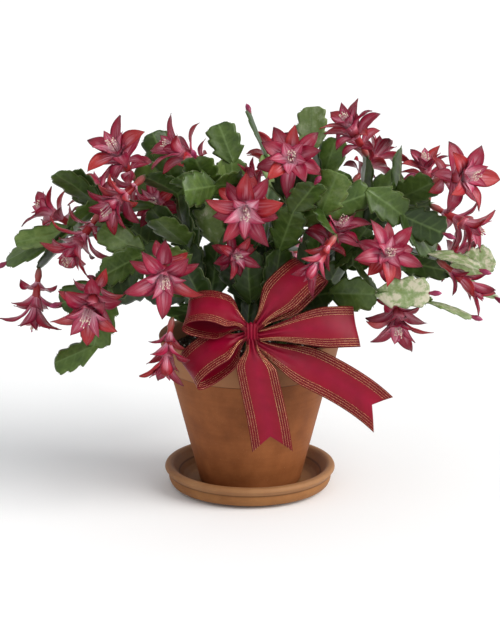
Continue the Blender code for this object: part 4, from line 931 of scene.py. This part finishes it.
# Blooms
petalLook = {
    "along": 16,
    "across": 8,
    "thick": 0.9 * mm,
    "rounds": 1.06,
    "skew": 0.06,
    "ripple": 0.10,
    # small petals round the stamens: height on the tube, count, length, width, angles
    "heart": (35 * mm, 5, 31 * mm, 11.5 * mm, 20, 44),
}
petalGrid = bladeGrid("petalGrid", [step / petalLook["along"] for step in range(petalLook["along"] + 1)],
                      petalLook["across"])
petalTree = makeBladeTree(
    "growPetals",
    ((0.0, 0.30), (0.12, 0.40), (0.30, 0.72), (0.48, 0.98), (0.60, 0.99), (0.74, 0.80), (0.87, 0.46),
     (0.95, 0.18), (1.0, 0.03)),
    ((0.0, 0.0), (0.05, 1.0), (0.70, 0.8), (0.96, 0.45), (1.0, 0.0)),
    ((0.0, 1.0), (0.5, 0.8), (0.9, 0.4), (1.0, 0.0)))

tubeLook = ((-1.6, 1.5), (0.0, 2.1), (3.0, 3.1), (7.0, 3.6), (11.0, 2.7), (20.0, 3.6), (33.0, 5.2),
            (37.5, 5.9))
stamenLook = {
    "count": 26,
    "spread": 4.6 * mm,
    "thread": 0.24 * mm,
    "anther": 0.75 * mm,
}


def petalBlades(bloom, draw):
    blades = []
    frameOf = bloom.frame.to_3x3()
    facing = (frameOf @ up).normalized()
    tiers = bloomShape["petalTiers"] + (petalLook["heart"],)
    for tier, (height, count, length, width, angleBase, angleTip) in enumerate(tiers):
        count = max(3, round(count * (0.45 + 0.55 * bloom.openness)))
        width *= 0.5 + 0.5 * bloom.openness
        for index in range(count):
            turn = bloom.phase + 2 * math.pi * (index + 0.5 * tier) / count
            wave = math.sin(5.0 * turn + 2.0 * bloom.phase + tier)
            opened = 0.16 + 0.84 * bloom.openness + 0.05 * wave
            first = math.radians(angleBase) * opened
            second = math.radians(angleTip) * opened
            outward = (frameOf @ around(turn)).normalized()
            local = around(turn, 1.0 * mm, height * bloom.size - 4 * mm)
            bend = second - first
            twist, tone = draw.uniform(-0.60, 0.60), draw.random()
            longer, wider = draw.uniform(0.90, 1.05), draw.uniform(0.84, 1.06)
            first += math.radians(draw.uniform(-5, 5))
            if tier == len(tiers) - 1:
                tone = -0.5 - 0.5 * tone
            fuller = petalLook["rounds"] * (1.0 + 0.35 * (1 - bloom.openness))
            blades.append({
                "origin": bloom.frame @ local, "lead": facing, "lean": outward,
                "reach": length * bloom.size * (1 + 0.06 * wave) * longer,
                "width": width * bloom.size * fuller * wider, "thick": petalLook["thick"],
                "bendStart": first - 0.48 * bend, "bendRate": 2.0 * bend,
                "cup": 0.20 + 0.25 * draw.random() + 0.3 * (1 - bloom.openness),
                "twist": twist, "tone": tone, "seed": draw.uniform(0, 90),
            })
    return blades


# a thread along x, whose y and z are its round section in radii; it swells at its end
def threadGrid():
    rings = ((0.0, 1.0), (0.2, 1.0), (0.4, 1.0), (0.6, 0.9), (0.8, 0.85), (0.925, 0.8), (0.94, 1.9),
             (0.965, 2.4), (0.985, 2.0), (1.0, 0.6))
    mesh = roundMesh("threadGrid", rings, 5)
    mesh.transform(Matrix(((0, 0, 1, 0), (1, 0, 0, 0), (0, 1, 0, 0), (0, 0, 0, 1))))
    return bpy.data.objects.new("threadGrid", mesh)


threadVectors = ("origin", "goal", "swell", "sideOne", "sideTwo")


def makeThreadTree():
    make, given, out = newGeometryTree("growThreads", (("Thread", "Object"), ("Radius", "Float"),
                                                      ("Material", "Material")))
    real, value, place = growOnPoints(make, given, "Thread", (), threadVectors)
    along, one, two = place
    swell = make.product(4.0, along, make.minus(1.0, along))
    moved = make.total(
        value["origin"],
        make.times(make.vector("SUBTRACT", value["goal"], value["origin"]), along),
        make.times(value["swell"], swell),
        make.times(value["sideOne"], make.product(one, given["Radius"])),
        make.times(value["sideTwo"], make.product(two, given["Radius"])))
    shaped = make.add("GeometryNodeSetPosition", {"Geometry": real, "Position": moved})
    return finishTree(make, shaped, given["Material"], out)


threadShape = threadGrid()
threadTree = makeThreadTree()


# thin threads from start to goal, each swelling sideways on its way
def threads(name, runs, radius, material):
    rows = []
    for start, goal, swell in runs:
        way = (goal - start).normalized()
        side = way.orthogonal().normalized()
        rows.append((start, goal, swell, side, way.cross(side)))
    mesh = meshOf(name, [run[0] for run in runs], [])
    for label, values in zip(threadVectors, zip(*rows)):
        withLabel(mesh, label, values)
    piece = addPiece(name, mesh)
    runTree(piece, threadTree, {"Thread": threadShape, "Radius": radius, "Material": material})
    dropLabels(settle(piece), threadVectors)
    return piece


def stamens(bloom, draw):
    size = bloom.size
    reach = (50 + 12 * bloom.openness) * mm * size
    runs = []
    for index in range(stamenLook["count"]):
        turn = 2 * math.pi * draw.random()
        out = stamenLook["spread"] * math.sqrt(draw.random()) * (0.35 + 0.65 * bloom.openness) * size
        start = around(turn, 1.6 * mm, 32 * mm * size)
        goal = around(turn, out, reach * draw.uniform(0.80, 0.97))
        swell = around(turn) * draw.uniform(0.2, 1.4) * mm
        runs.append((bloom.frame @ start, bloom.frame @ goal, bloom.frame.to_3x3() @ swell))
    return threads("stamens", runs, stamenLook["thread"], stamenMaterial)


def style(bloom, draw):
    reach = (50 + 12 * bloom.openness) * mm * bloom.size
    start = bloom.frame @ Vector((0.0, 0.0, 30 * mm * bloom.size))
    goal = bloom.frame @ Vector((draw.uniform(-1, 1) * mm, draw.uniform(-1, 1) * mm, reach))
    return threads("style", [(start, goal, Vector((0.0, 0.0, 0.4 * mm)))], 0.36 * mm, styleMaterial)


def nodeWords(name):
    return "".join(word.capitalize() for word in name.split("_"))


def dressBloom(number, bloom):
    draw = random.Random(900 + number)
    name = "bloom" + nodeWords(bloom.name)
    blades = petalBlades(bloom, draw)
    petals = growBlades(name + "Petals", blades, petalTree, petalGrid, petalLook, petalMaterial)
    tube = roundBody("tube", smoothStations(tubeLook, 20, bloom.size * mm), 14, bloom.frame, tubeMaterial)
    piece = joinPieces(name, [petals, tube, stamens(bloom, draw), style(bloom, draw)])
    finishPiece(piece, "petal_crimson", "bloom_" + bloom.name)


for number, bloom in enumerate(blooms):
    dressBloom(number, bloom)
print("blooms dressed")


# Ribbon bow: the same strips as the solids, with pleats, soft waves and gold threads
bowLook = {
    "width": 38 * mm,
    "gathered": 11 * mm,
    "cloth": 0.4 * mm,
    "steps": 72,
    "columns": 18,
    "pleats": 3,
    "pleatDepth": 1.5 * mm,
    "threadPlaces": (0.030, 0.086, 0.144, 0.202),
    "threadRadius": 0.25 * mm,
    "redSatin": (0.18, 0.002, 0.008),
    "magentaSatin": (0.235, 0.002, 0.022),
    "edgeSatin": (0.12, 0.003, 0.007),
    "gold": (0.74, 0.35, 0.15),
}
knotLow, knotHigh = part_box("bow_knot")
knotCentre = (knotLow + knotHigh) / 2
loopLook = (
    # name, root beside the knot (mm), reach, across, length, height, sag, how soon it widens
    ("UpperLeft", (-7.6, 0, 7.5), (-0.90, -0.10, 0.42), (-0.10, 0.75, 0.62), 57, 15, 10, 2.6),
    ("LowerLeft", (-9, -1, -4), (-0.80, -0.10, -0.52), (-0.55, 0.65, 0.45), 58, 13, 2, 2.6),
    ("UpperRight", (7.3, 0.2, 8.6), (0.62, 0.38, 0.66), (-0.72, 0.42, 0.50), 78, 13, 9, 2.2),
    ("Right", (6.9, 0.3, -3), (0.99, 0.08, 0.16), (-0.05, 0.30, 0.95), 92, 13, 8, 1.35),
)
tailLook = (
    # name, curve (mm), across at the knot, across at the end, how soon it widens, notch
    ("Centre", ((2, -95.7, 167.5), (8, -104, 130), (16, -92, 105), (21, -88, 62)),
     (0.9, 0.0, -0.1), (1.0, 0.06, 0.0), 4.5, 0.13),
    ("Right", ((7.8, -89.1, 166.8), (34, -86, 152), (90, -92, 134), (124, -88, 98)),
     (0.45, 0.5, 0.7), (0.46, 0.1, 0.87), 2.1, 0.10),
)


def widthAt(full):
    return bowLook["gathered"] + (bowLook["width"] - bowLook["gathered"]) * full


# Each line is (centre, across, width, gather): gather is 1 at the knot and 0 where the cloth is full
def loopLines(side, reach, across, length, height, sag, widening):
    reach = Vector(reach).normalized()
    across = Vector(across)
    across = (across - reach * across.dot(reach)).normalized()
    bulge = reach.cross(across)
    if bulge.z < 0:
        bulge = -bulge
    root = knotCentre + Vector(side) * mm
    start = 0.035
    lines = []
    steps = bowLook["steps"]
    for step in range(steps + 1):
        turn = 2 * math.pi * (start + (1 - 2 * start) * step / steps)
        out = (1 - math.cos(turn)) / 2
        centre = root + reach * length * mm * out
        centre += bulge * height * mm * math.sin(turn) * out ** 0.35
        centre += bulge * 1.1 * mm * (1 - 2 * step / steps)
        centre += Vector((0, 0, -sag * mm)) * out ** 2
        full = eased(out * widening)
        lines.append((centre, across, widthAt(full), 1 - full))
    return intoKnot(lines[0])[::-1] + lines + intoKnot(lines[-1])


# a few more lines run on into the knot, where the cloth is tied
def intoKnot(line):
    centre, across, width, gather = line
    return [(centre.lerp(knotCentre, share), across, width * (1 - 0.5 * share), 1.0)
            for share in (0.2, 0.4, 0.6)]


def tailLines(corners, acrossStart, acrossEnd, widening):
    corners = [Vector(corner) * mm for corner in corners]
    lines = []
    steps = bowLook["steps"]
    for step in range(steps + 1):
        share = step / steps
        turned = eased(share * 1.3)
        across = Vector(acrossStart).lerp(Vector(acrossEnd), turned).normalized()
        full = eased(share * widening)
        lines.append((bezier(corners, share), across, widthAt(full), 1 - full))
    return intoKnot(lines[0])[::-1] + lines


def ribbonRows(lines, notch, phase):
    columns = bowLook["columns"]
    rows = []
    last = len(lines) - 1
    for index, (centre, across, width, gather) in enumerate(lines):
        ahead = lines[min(index + 1, last)][0] - lines[max(index - 1, 0)][0]
        face = ahead.cross(across).normalized()
        row = []
        for column in range(columns + 1):
            share = column / columns
            middle = 1 - (2 * share - 1) ** 2
            fold = math.cos(2 * math.pi * bowLook["pleats"] * share + phase) * gather ** 1.5
            soft = math.sin(0.16 * index + 3.1 * share + phase) * (1 - gather) * 0.9 * middle
            row.append(centre + across * width * (share - 0.5)
                       + face * (fold * bowLook["pleatDepth"] + soft * mm))
        rows.append(row)
    if notch:
        # the cut runs back from both corners to the middle of the cloth
        for column in range(columns + 1):
            share = 1 - notch * (1 - abs(2 * column / columns - 1))
            cutBack(rows, column, share)
    return rows


def cutBack(rows, column, share):
    line = [row[column].copy() for row in rows]
    for index in range(3, len(rows)):
        place = 3 + (index - 3) * share
        low = min(int(place), len(rows) - 2)
        rows[index][column] = line[low].lerp(line[low + 1], place - low)


def lengthOf(rows):
    middle = len(rows[0]) // 2
    return sum((after[middle] - before[middle]).length for before, after in zip(rows, rows[1:]))


def clothPiece(name, points, faces, uvOf):
    mesh = meshOf(name, points, faces)
    layer = mesh.uv_layers.new(name="UVMap")
    for face in mesh.polygons:
        first = mesh.loops[face.loop_start].vertex_index
        for corner in face.loop_indices:
            layer.data[corner].uv = uvOf(mesh.loops[corner].vertex_index, first)
    piece = addPiece(name, mesh, satinMaterial)
    cloth = piece.modifiers.new("cloth", "SOLIDIFY")
    cloth.thickness = bowLook["cloth"]
    cloth.offset = 0.0
    settle(piece).shade_smooth()
    return piece


def ribbonStrip(name, rows):
    columns = bowLook["columns"] + 1
    far = [lengthOf(rows[:row + 1]) / bowLook["width"] for row in range(len(rows))]

    def uvOf(corner, first):
        row, column = divmod(corner, columns)
        return far[row], column / (columns - 1)

    return clothPiece(name, [point for row in rows for point in row], gridFaces(len(rows), columns), uvOf)


def makeGoldTree():
    make, given, out = newGeometryTree("threadGold", (("Radius", "Float"), ("Material", "Material")))
    run = make.add("GeometryNodeMeshToCurve", {"Mesh": given["Geometry"]})
    ring = make.add("GeometryNodeCurvePrimitiveCircle", {"Resolution": 5, "Radius": given["Radius"]})
    thread = make.add("GeometryNodeCurveToMesh", {"Curve": run, "Profile Curve": ring, "Fill Caps": True})
    return finishTree(make, thread, given["Material"], out)


def goldThreads(name, runs, radius):
    points, edges = [], []
    for run in runs:
        edges += [(len(points) + index, len(points) + index + 1) for index in range(len(run) - 1)]
        points += run
    mesh = bpy.data.meshes.new(name)
    mesh.from_pydata([tuple(point) for point in points], edges, [])
    piece = addPiece(name, mesh)
    runTree(piece, goldTree, {"Radius": radius, "Material": goldMaterial})
    settle(piece)
    return piece


def threadRuns(rows, first):
    runs = []
    columns = bowLook["columns"]
    for place in bowLook["threadPlaces"]:
        for share in (place, 1 - place):
            low = min(int(share * columns), columns - 1)
            runs.append([row[low].lerp(row[low + 1], share * columns - low) for row in rows[first:]])
    return runs


def makeSatinMaterial():
    make = newMaterial("ribbonSatin")
    uv, along, cross, middle = splitUv(make)
    soft = noise(make, uv, 2.6, 2.0)
    slub = noise(make, stretched(make, uv, (3.0, 150.0, 1.0)), 1.0, 3.0)
    weft = make.add("ShaderNodeTexWave", {"Vector": uv, "Scale": 26.0, "Distortion": 0.6, "Detail": 1.0},
                    pick=1, bands_direction="X")
    base = make.blend(make.line(middle, -1.2, 1.0, clamp=True),
                      bowLook["redSatin"], bowLook["magentaSatin"])
    band = make.line(middle, 30.0, -16.8, clamp=True)
    base = make.blend(make.product(band, 0.85), base, bowLook["edgeSatin"])
    shade = make.line(soft, 0.9, 0.55)
    tint = make.add("ShaderNodeCombineColor", (shade, shade, shade))
    base = make.blend(0.6, base, tint, "MULTIPLY")
    rough = make.line(band, 0.18, 0.33)
    return setSkin(make, base, make.plus(rough, make.line(slub, 0.2, -0.1)),
                   (make.plus(make.product(weft, 0.5), slub), 0.22, 0.0004), {
        "Sheen Weight": 0.05,
        "Sheen Roughness": 0.3,
        "Sheen Tint": (1.0, 0.20, 0.35, 1.0),
        "Anisotropic": 0.5,
        "Specular IOR Level": 0.2,
    })


def makeGoldMaterial():
    make = newMaterial("goldThread")
    place = make.place()
    glint = noise(make, place, 1500.0, 2.0)
    wide = noise(make, place, 240.0, 2.0)
    base = make.ramp(make.plus(make.product(glint, 0.6), make.product(wide, 0.4)),
                     ((0.25, (0.26, 0.08, 0.03)), (0.45, bowLook["gold"]), (0.7, (1.0, 0.74, 0.40))))
    return setSkin(make, base, make.line(glint, 0.35, 0.12), (glint, 0.8, 0.0004), {
        "Metallic": 0.9,
    })


satinMaterial = makeSatinMaterial()
goldMaterial = makeGoldMaterial()
goldTree = makeGoldTree()


def finishRibbon(strip, node, runs, radius):
    finishPiece(strip, "ribbon_satin", node)
    gold = goldThreads(strip.name + "Gold", runs, radius)
    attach(gold, "root")


def dressRibbon(name, rows, runs, node):
    finishRibbon(ribbonStrip(name, rows), node, runs, bowLook["threadRadius"])


for index, (name, *shape) in enumerate(loopLook):
    rows = ribbonRows(loopLines(*shape), 0.0, 0.9 * index)
    node = "bow_loop" + "".join("_" + letter.lower() if letter.isupper() else letter for letter in name)
    dressRibbon("bowLoop" + name, rows, threadRuns(rows[3:-3], 0), node)
for index, (name, *shape, notch) in enumerate(tailLook):
    rows = ribbonRows(tailLines(*shape), notch, 2.0 + index)
    dressRibbon("bowTail" + name, rows, threadRuns(rows, 3), "bow_tail_" + name.lower())


# The knot is a narrow band of the same ribbon, pleated and tied round the middle
knotLook = {
    "width": 19 * mm,
    "pleats": 4,
    "depth": 0.75 * mm,
    "steps": 64,
    "columns": 32,
    "squeeze": 0.16,
    "threads": (3, 11, 19, 27, 30),
}


def knotRows():
    size = (knotHigh - knotLow) / 2
    rows = []
    for step in range(knotLook["steps"] + 1):
        turn = 2 * math.pi * step / knotLook["steps"]
        row = []
        for column in range(knotLook["columns"] + 1):
            share = column / knotLook["columns"]
            pleat = 2 * math.pi * knotLook["pleats"] * share + 0.5 * math.sin(turn)
            fold = knotLook["depth"] * math.cos(pleat)
            waist = 1 - knotLook["squeeze"] * (2 * share - 1) ** 2
            row.append(knotCentre + Vector((
                size.x * (2 * share - 1) * (1 - 0.10 * math.cos(2 * turn)),
                -math.cos(turn) * (size.y * waist - knotLook["depth"] + fold),
                math.sin(turn) * (size.z * waist - knotLook["depth"] + fold))))
        rows.append(row)
    return rows


def dressKnot():
    rows = knotRows()
    columns, steps = knotLook["columns"] + 1, knotLook["steps"]

    def uvOf(corner, first):
        row, column = divmod(corner, columns)
        if row == 0 and first >= (steps - 1) * columns:
            row = steps
        return 1.3 * row / steps, 0.25 + 0.5 * column / (columns - 1)

    faces = gridFaces(steps, columns, closeRows=True)
    piece = clothPiece("bowKnot", [point for row in rows[:-1] for point in row], faces, uvOf)
    runs = [[row[column] for row in rows] for column in knotLook["threads"]]
    finishRibbon(piece, "bow_knot", runs, bowLook["threadRadius"] * 0.8)


dressKnot()
print("bow dressed")


# Clay pot, its saucer, the soil and the pick
# closed says that the profile runs round the wall; without it, both its ends get a flat cap
def lathe(name, profile, seed, closed):
    sides, uneven, count = clayLook["sides"], clayLook["uneven"], len(profile)
    points = []
    for index in range(sides):
        turn = 2 * math.pi * index / sides
        for radius, height in profile:
            wave = math.sin(2 * turn + seed + height * 40) + 0.6 * math.sin(3 * turn + 2 * seed)
            points.append(around(turn, radius * (1 + uneven * wave), height))
    faces = gridFaces(sides, count, True, closed)
    if not closed:
        faces += [tuple(index * count + end for index in range(sides)) for end in (0, count - 1)]
    mesh = meshOf(name, points, faces)
    shape = bmesh.new()
    shape.from_mesh(mesh)
    bmesh.ops.recalc_face_normals(shape, faces=shape.faces)
    shape.to_mesh(mesh)
    shape.free()
    mesh.shade_smooth()
    return mesh


# corners of a profile are rounded, and its long sides cut into short steps
def roundedProfile(corners, radius, step):
    made = []
    count = len(corners)
    for index in range(count):
        before, here, after = (Vector(corners[(index + turn) % count]) for turn in (-1, 0, 1))
        back, on = before - here, after - here
        cut = min(radius, 0.42 * back.length, 0.42 * on.length)
        first, last = here + back.normalized() * cut, here + on.normalized() * cut
        for share in (0.0, 0.25, 0.5, 0.75, 1.0):
            made.append((1 - share) ** 2 * first + 2 * share * (1 - share) * here + share * share * last)
        away = (on.length - cut - min(radius, 0.42 * on.length))
        pieces = int(away / step)
        for part in range(1, pieces):
            made.append(last + on.normalized() * away * part / pieces)
    return made


clayLook = {
    "sides": 144,
    "uneven": 0.0022,
    "potClay": ((0.0, (0.10, 0.030, 0.009)), (0.4, (0.20, 0.062, 0.018)), (0.75, (0.29, 0.100, 0.032)),
                (1.0, (0.42, 0.18, 0.075))),
    "saucerClay": ((0.0, (0.12, 0.046, 0.013)), (0.4, (0.22, 0.090, 0.029)), (0.75, (0.30, 0.135, 0.046)),
                   (1.0, (0.44, 0.24, 0.11))),
    "dusty": (0.36, 0.20, 0.105),
    "speck": (0.52, 0.32, 0.18),
    # painted shade for the line under the band's step
    "soot": (0.060, 0.022, 0.010),
}
wall, potFloor, bandHeight, bandStep, drain = 6.5 * mm, 10 * mm, 31 * mm, 1.0 * mm, 9 * mm
footRadius = 48.5 * mm
slope = ((potHigh.x - potLow.x) / 2 - bandStep - footRadius) / (potHigh.z - potLow.z)


def potRadius(height):
    return footRadius + slope * (height - potLow.z)


def makeClayMaterial(name, stops, roughness, rings, line):
    make = newMaterial(name)
    place = make.place()
    cloud = noise(make, place, 14.0, 5.0, 0.62)
    patch = noise(make, place, 60.0, 4.0, 0.6)
    grain = noise(make, place, 900.0, 3.0)
    turned = noise(make, stretched(make, place, (3.0, 3.0, rings)), 1.0, 4.0, 0.55)
    tone = make.plus(make.product(cloud, 0.62), make.product(patch, 0.32))
    tone = make.plus(tone, make.product(turned, 0.14))
    base = make.ramp(make.line(tone, 1.5, -0.30), stops)
    speck = make.line(grain, 9.0, -5.9, clamp=True)

    # the band above the line is paler, and painted shade lies in the line itself, where the band steps out
    above = make.minus(make.split(place)[2], line)
    paler = make.math("MULTIPLY", above, 1500.0, clamp=True)
    paintedStepShade = make.line(make.math("ABSOLUTE", above), -800.0, 1.0, clamp=True)
    base = make.over(base, (make.product(speck, 0.25), clayLook["speck"]),
                     (make.product(paler, make.line(cloud, 0.8, -0.05)), clayLook["dusty"]),
                     (make.product(paintedStepShade, 0.7), clayLook["soot"]))
    relief = make.plus(make.product(turned, 0.35), make.product(grain, 0.35))
    return setSkin(make, base, make.line(patch, 0.24, roughness - 0.12), (relief, 0.45, 0.0008), {
        "Specular IOR Level": 0.15,
    })


potMaterial = makeClayMaterial("potClay", clayLook["potClay"], 0.62, 260.0, potHigh.z - bandHeight - 0.8 * mm)
saucerMaterial = makeClayMaterial("saucerClay", clayLook["saucerClay"], 0.55, 420.0,
                                  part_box("saucer")[1].z - 9 * mm)


def dressPot():
    top, foot = potHigh.z, potLow.z
    band, floor = top - bandHeight, foot + potFloor
    rim = potRadius(top) + bandStep
    corners = ((rim, top), (potRadius(band) + bandStep + 0.6 * mm, band),
               (potRadius(band) - 0.9 * mm, band - 1.2 * mm), (footRadius, foot), (drain, foot),
               (drain, floor), (potRadius(floor) - wall, floor), (potRadius(top) - wall, top))
    profile = roundedProfile(corners[::-1], 2.4 * mm, 5 * mm)
    mesh = lathe("potTurned", profile, 0.7, True)
    mesh.set_sharp_from_angle(angle=math.radians(32))
    finishPiece(addPiece("potTurned", mesh, potMaterial), "pot_clay", "pot")


def dressSaucer():
    low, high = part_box("saucer")
    radius, rim = (high.x - low.x) / 2, high.z
    inner = radius - 8.5 * mm
    corners = ((0.0, 6 * mm), (60 * mm, 6 * mm), (65 * mm, 9 * mm), (inner, rim - 1.5 * mm),
               (inner + 2.6 * mm, rim), (radius - 1.5 * mm, rim - 0.6 * mm), (radius, rim - 4 * mm),
               (radius - 5 * mm, rim - 9.5 * mm),
               (radius - 4 * mm, rim - 13.5 * mm), (radius - 6.5 * mm, rim - 19 * mm), (66 * mm, 0.0),
               (0.0, 0.0))
    profile = roundedProfile(corners, 1.8 * mm, 5 * mm)
    profile = [point for point in profile if point.x > 0.6 * mm]
    mesh = lathe("saucerTurned", profile, 2.1, False)
    finishPiece(addPiece("saucerTurned", mesh, saucerMaterial), "saucer_clay", "saucer")


dressPot()
dressSaucer()
print("clay dressed")


# Soil: a displaced top on the same plug, with crumbs and white grit scattered over it
soilLook = {
    "rings": 40,
    "sides": 120,
    "rough": 1.6 * mm,
    "seed": 5,
    "fit": 0.3 * mm,            # between the soil and the wall
    "spread": 0.93,             # share of the soil's radius that the crumbs lie on
    # count, smallest and largest radius (mm), seed
    "crumbs": (900, 0.5, 1.9, 11),
    "grit": (160, 0.6, 1.7, 12),
}


def makeSoilMaterial(name, stops, roughness):
    make = newMaterial(name)
    place = make.place()
    cloud = noise(make, place, 110.0, 5.0, 0.7)
    grain = noise(make, place, 900.0, 3.0)
    base = make.ramp(make.line(grain, 0.5, make.line(cloud, 1.0, -0.25)), stops)
    return setSkin(make, base, make.line(grain, 0.2, roughness),
                   (make.plus(cloud, make.product(grain, 0.5)), 0.8, 0.0015), {
        "Specular IOR Level": 0.2,
    })


soilMaterial = makeSoilMaterial("soilDark", ((0.25, (0.008, 0.005, 0.003)), (0.5, (0.030, 0.018, 0.010)),
                                            (0.75, (0.070, 0.042, 0.022)), (1.0, (0.12, 0.08, 0.05))), 0.8)
gritMaterial = makeSoilMaterial("gritWhite", ((0.0, (0.40, 0.38, 0.33)), (0.5, (0.62, 0.60, 0.54)),
                                             (0.8, (0.76, 0.75, 0.70)), (1.0, (0.85, 0.84, 0.80))), 0.7)


def dressSoil():
    low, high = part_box("soil")
    edge = high.z - 3 * mm
    wide = potRadius(edge) - wall - soilLook["fit"]
    deep = potRadius(low.z) - wall - soilLook["fit"]
    level = 0.72 * wide
    draw = random.Random(soilLook["seed"])
    points = [Vector((0.0, 0.0, high.z - 0.8 * mm))]
    sides, rings = soilLook["sides"], soilLook["rings"]
    for ring in range(1, rings + 1):
        radius = wide * ring / rings
        height = high.z - 3 * mm * eased((radius - level) / (wide - level))
        for place in circle(sides, radius, height):
            place.z += draw.uniform(-1, 0.4) * soilLook["rough"] * (1 - (ring / rings) ** 8)
            points.append(place)
    points += circle(sides, deep, low.z)
    faces = [(0, 1 + index, 1 + (index + 1) % sides) for index in range(sides)]
    for face in gridFaces(rings + 1, sides, closeColumns=True):
        faces.append(tuple(1 + corner for corner in face[::-1]))
    faces.append(tuple(reversed(range(len(points) - sides, len(points)))))
    mesh = meshOf("soilTop", points, faces)
    mesh.shade_smooth()
    finishPiece(addPiece("soilTop", mesh, soilMaterial), "potting_soil", "soil")
    for name, look, material in (("soilCrumbs", "crumbs", soilMaterial), ("soilGrit", "grit", gritMaterial)):
        piece = scatterOver(name, *soilLook[look], material, soilLook["spread"] * wide, high.z - 0.8 * mm)
        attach(piece, "root")


def makeScatterTree():
    make, given, out = newGeometryTree("scatterCrumbs", (
        ("Density", "Float"), ("Least", "Float"), ("Most", "Float"), ("Seed", "Int"),
        ("Material", "Material")))
    points = make.add("GeometryNodeDistributePointsOnFaces", {
        "Mesh": given["Geometry"], "Density": given["Density"], "Seed": given["Seed"]})
    lump = make.add("GeometryNodeMeshIcoSphere", {"Radius": 0.001, "Subdivisions": 2})
    place = make.add("GeometryNodeInputPosition")
    bent = make.add("ShaderNodeTexNoise", {"Vector": place, "Scale": 1400.0}, pick=1)
    bent = make.times(make.vector("SUBTRACT", bent, (0.5, 0.5, 0.5)), 0.0013)
    lump = make.add("GeometryNodeSetPosition", {"Geometry": lump, "Offset": bent})
    turn = make.add("FunctionNodeRandomValue", {"Min": (0.0, 0.0, 0.0), "Max": (6.28, 6.28, 6.28),
                                                "Seed": given["Seed"]}, data_type="FLOAT_VECTOR")
    size = make.add("FunctionNodeRandomValue", {"Min": given["Least"], "Max": given["Most"],
                                                "Seed": given["Seed"]}, data_type="FLOAT")
    many = make.add("GeometryNodeInstanceOnPoints", {"Points": points, "Instance": lump, "Rotation": turn,
                                                     "Scale": size})
    real = make.add("GeometryNodeRealizeInstances", {"Geometry": many})
    return finishTree(make, real, given["Material"], out)


scatterTree = makeScatterTree()


def scatterOver(name, count, least, most, seed, material, radius, height):
    sides = 48
    piece = addPiece(name, meshOf(name, circle(sides, radius, height), [tuple(range(sides))]))
    runTree(piece, scatterTree, {"Density": count / (math.pi * radius ** 2), "Least": least, "Most": most,
                                 "Seed": seed, "Material": material})
    settle(piece)
    return piece


dressSoil()
print("soil dressed")


def makeWoodMaterial():
    make = newMaterial("pickWood")
    place = make.place()
    grain = noise(make, stretched(make, place, (900.0, 120.0, 120.0)), 1.0, 4.0)
    base = make.ramp(grain, pickLook["wood"])
    return setSkin(make, base, make.line(grain, 0.2, 0.5), (grain, 0.5, 0.0004))


pickLook = {
    "foot": Vector((1, -42, 100)) * mm,
    "raise": 4 * mm,            # its aim over the middle of the knot
    "short": 13.4 * mm,         # it ends this far before its aim
    "radius": 1.5 * mm,
    "wood": ((0.3, (0.20, 0.11, 0.045)), (0.6, (0.46, 0.30, 0.15)), (0.8, (0.60, 0.43, 0.24))),
}


def dressPick():
    run = knotCentre + up * pickLook["raise"] - pickLook["foot"]
    length = run.length - pickLook["short"]
    stations = [(0.0, 0.5 * mm), (6 * mm, 1.4 * mm), (0.5 * length, pickLook["radius"]),
                (length - 0.5 * mm, pickLook["radius"]), (length, 1.1 * mm)]
    place = up.rotation_difference(run).to_matrix().to_4x4()
    place.translation = pickLook["foot"]
    piece = roundBody("bowPick", smoothStations(stations, 40), 20, place, makeWoodMaterial())
    finishPiece(piece, "pick_wood", "bow_pick")


dressPick()
print("pick dressed")


# Plain pale floor and soft light, the key from the right
lightLook = {
    "floor": (0.93, 0.93, 0.93),
    "sky": (0.96, 0.98, 1.0),
    "skyStrength": 0.66,
    "key": {"from": (2.7, -1.35, 2.0), "strength": 2.95, "spread": 46, "colour": (1.0, 0.985, 0.96)},
    "fill": {"from": (-1.6, -2.2, 1.0), "strength": 0.4, "spread": 60, "colour": (0.96, 0.98, 1.0)},
}


def addSun(name, look):
    lamp = bpy.data.lights.new(name, "SUN")
    lamp.energy = look["strength"]
    lamp.angle = math.radians(look["spread"])
    lamp.color = look["colour"]
    holder = bpy.data.objects.new(name, lamp)
    bpy.context.scene.collection.objects.link(holder)
    holder.location = Vector(look["from"])
    holder.rotation_euler = (-Vector(look["from"])).to_track_quat("-Z", "Y").to_euler()


def addFloor():
    low = min(corner[2] for corner in solidBox)
    reach = 8.0
    mesh = meshOf("studioFloor", [(-reach, -reach, low), (reach, -reach, low), (reach, reach, low),
                                  (-reach, reach, low)], [(0, 1, 2, 3)])
    paper = setSkin(newMaterial("studioPaper"), (*lightLook["floor"], 1.0), 0.9)
    addPiece("studioFloor", mesh, paper)


addFloor()
addSun("keyLight", lightLook["key"])
addSun("fillLight", lightLook["fill"])
world = bpy.data.worlds.new("studioSky")
world.use_nodes = True
world.node_tree.nodes["Background"].inputs["Color"].default_value = (*lightLook["sky"], 1.0)
world.node_tree.nodes["Background"].inputs["Strength"].default_value = lightLook["skyStrength"]
bpy.context.scene.world = world
bpy.context.scene.view_settings.view_transform = "Standard"
print("stage and light set")
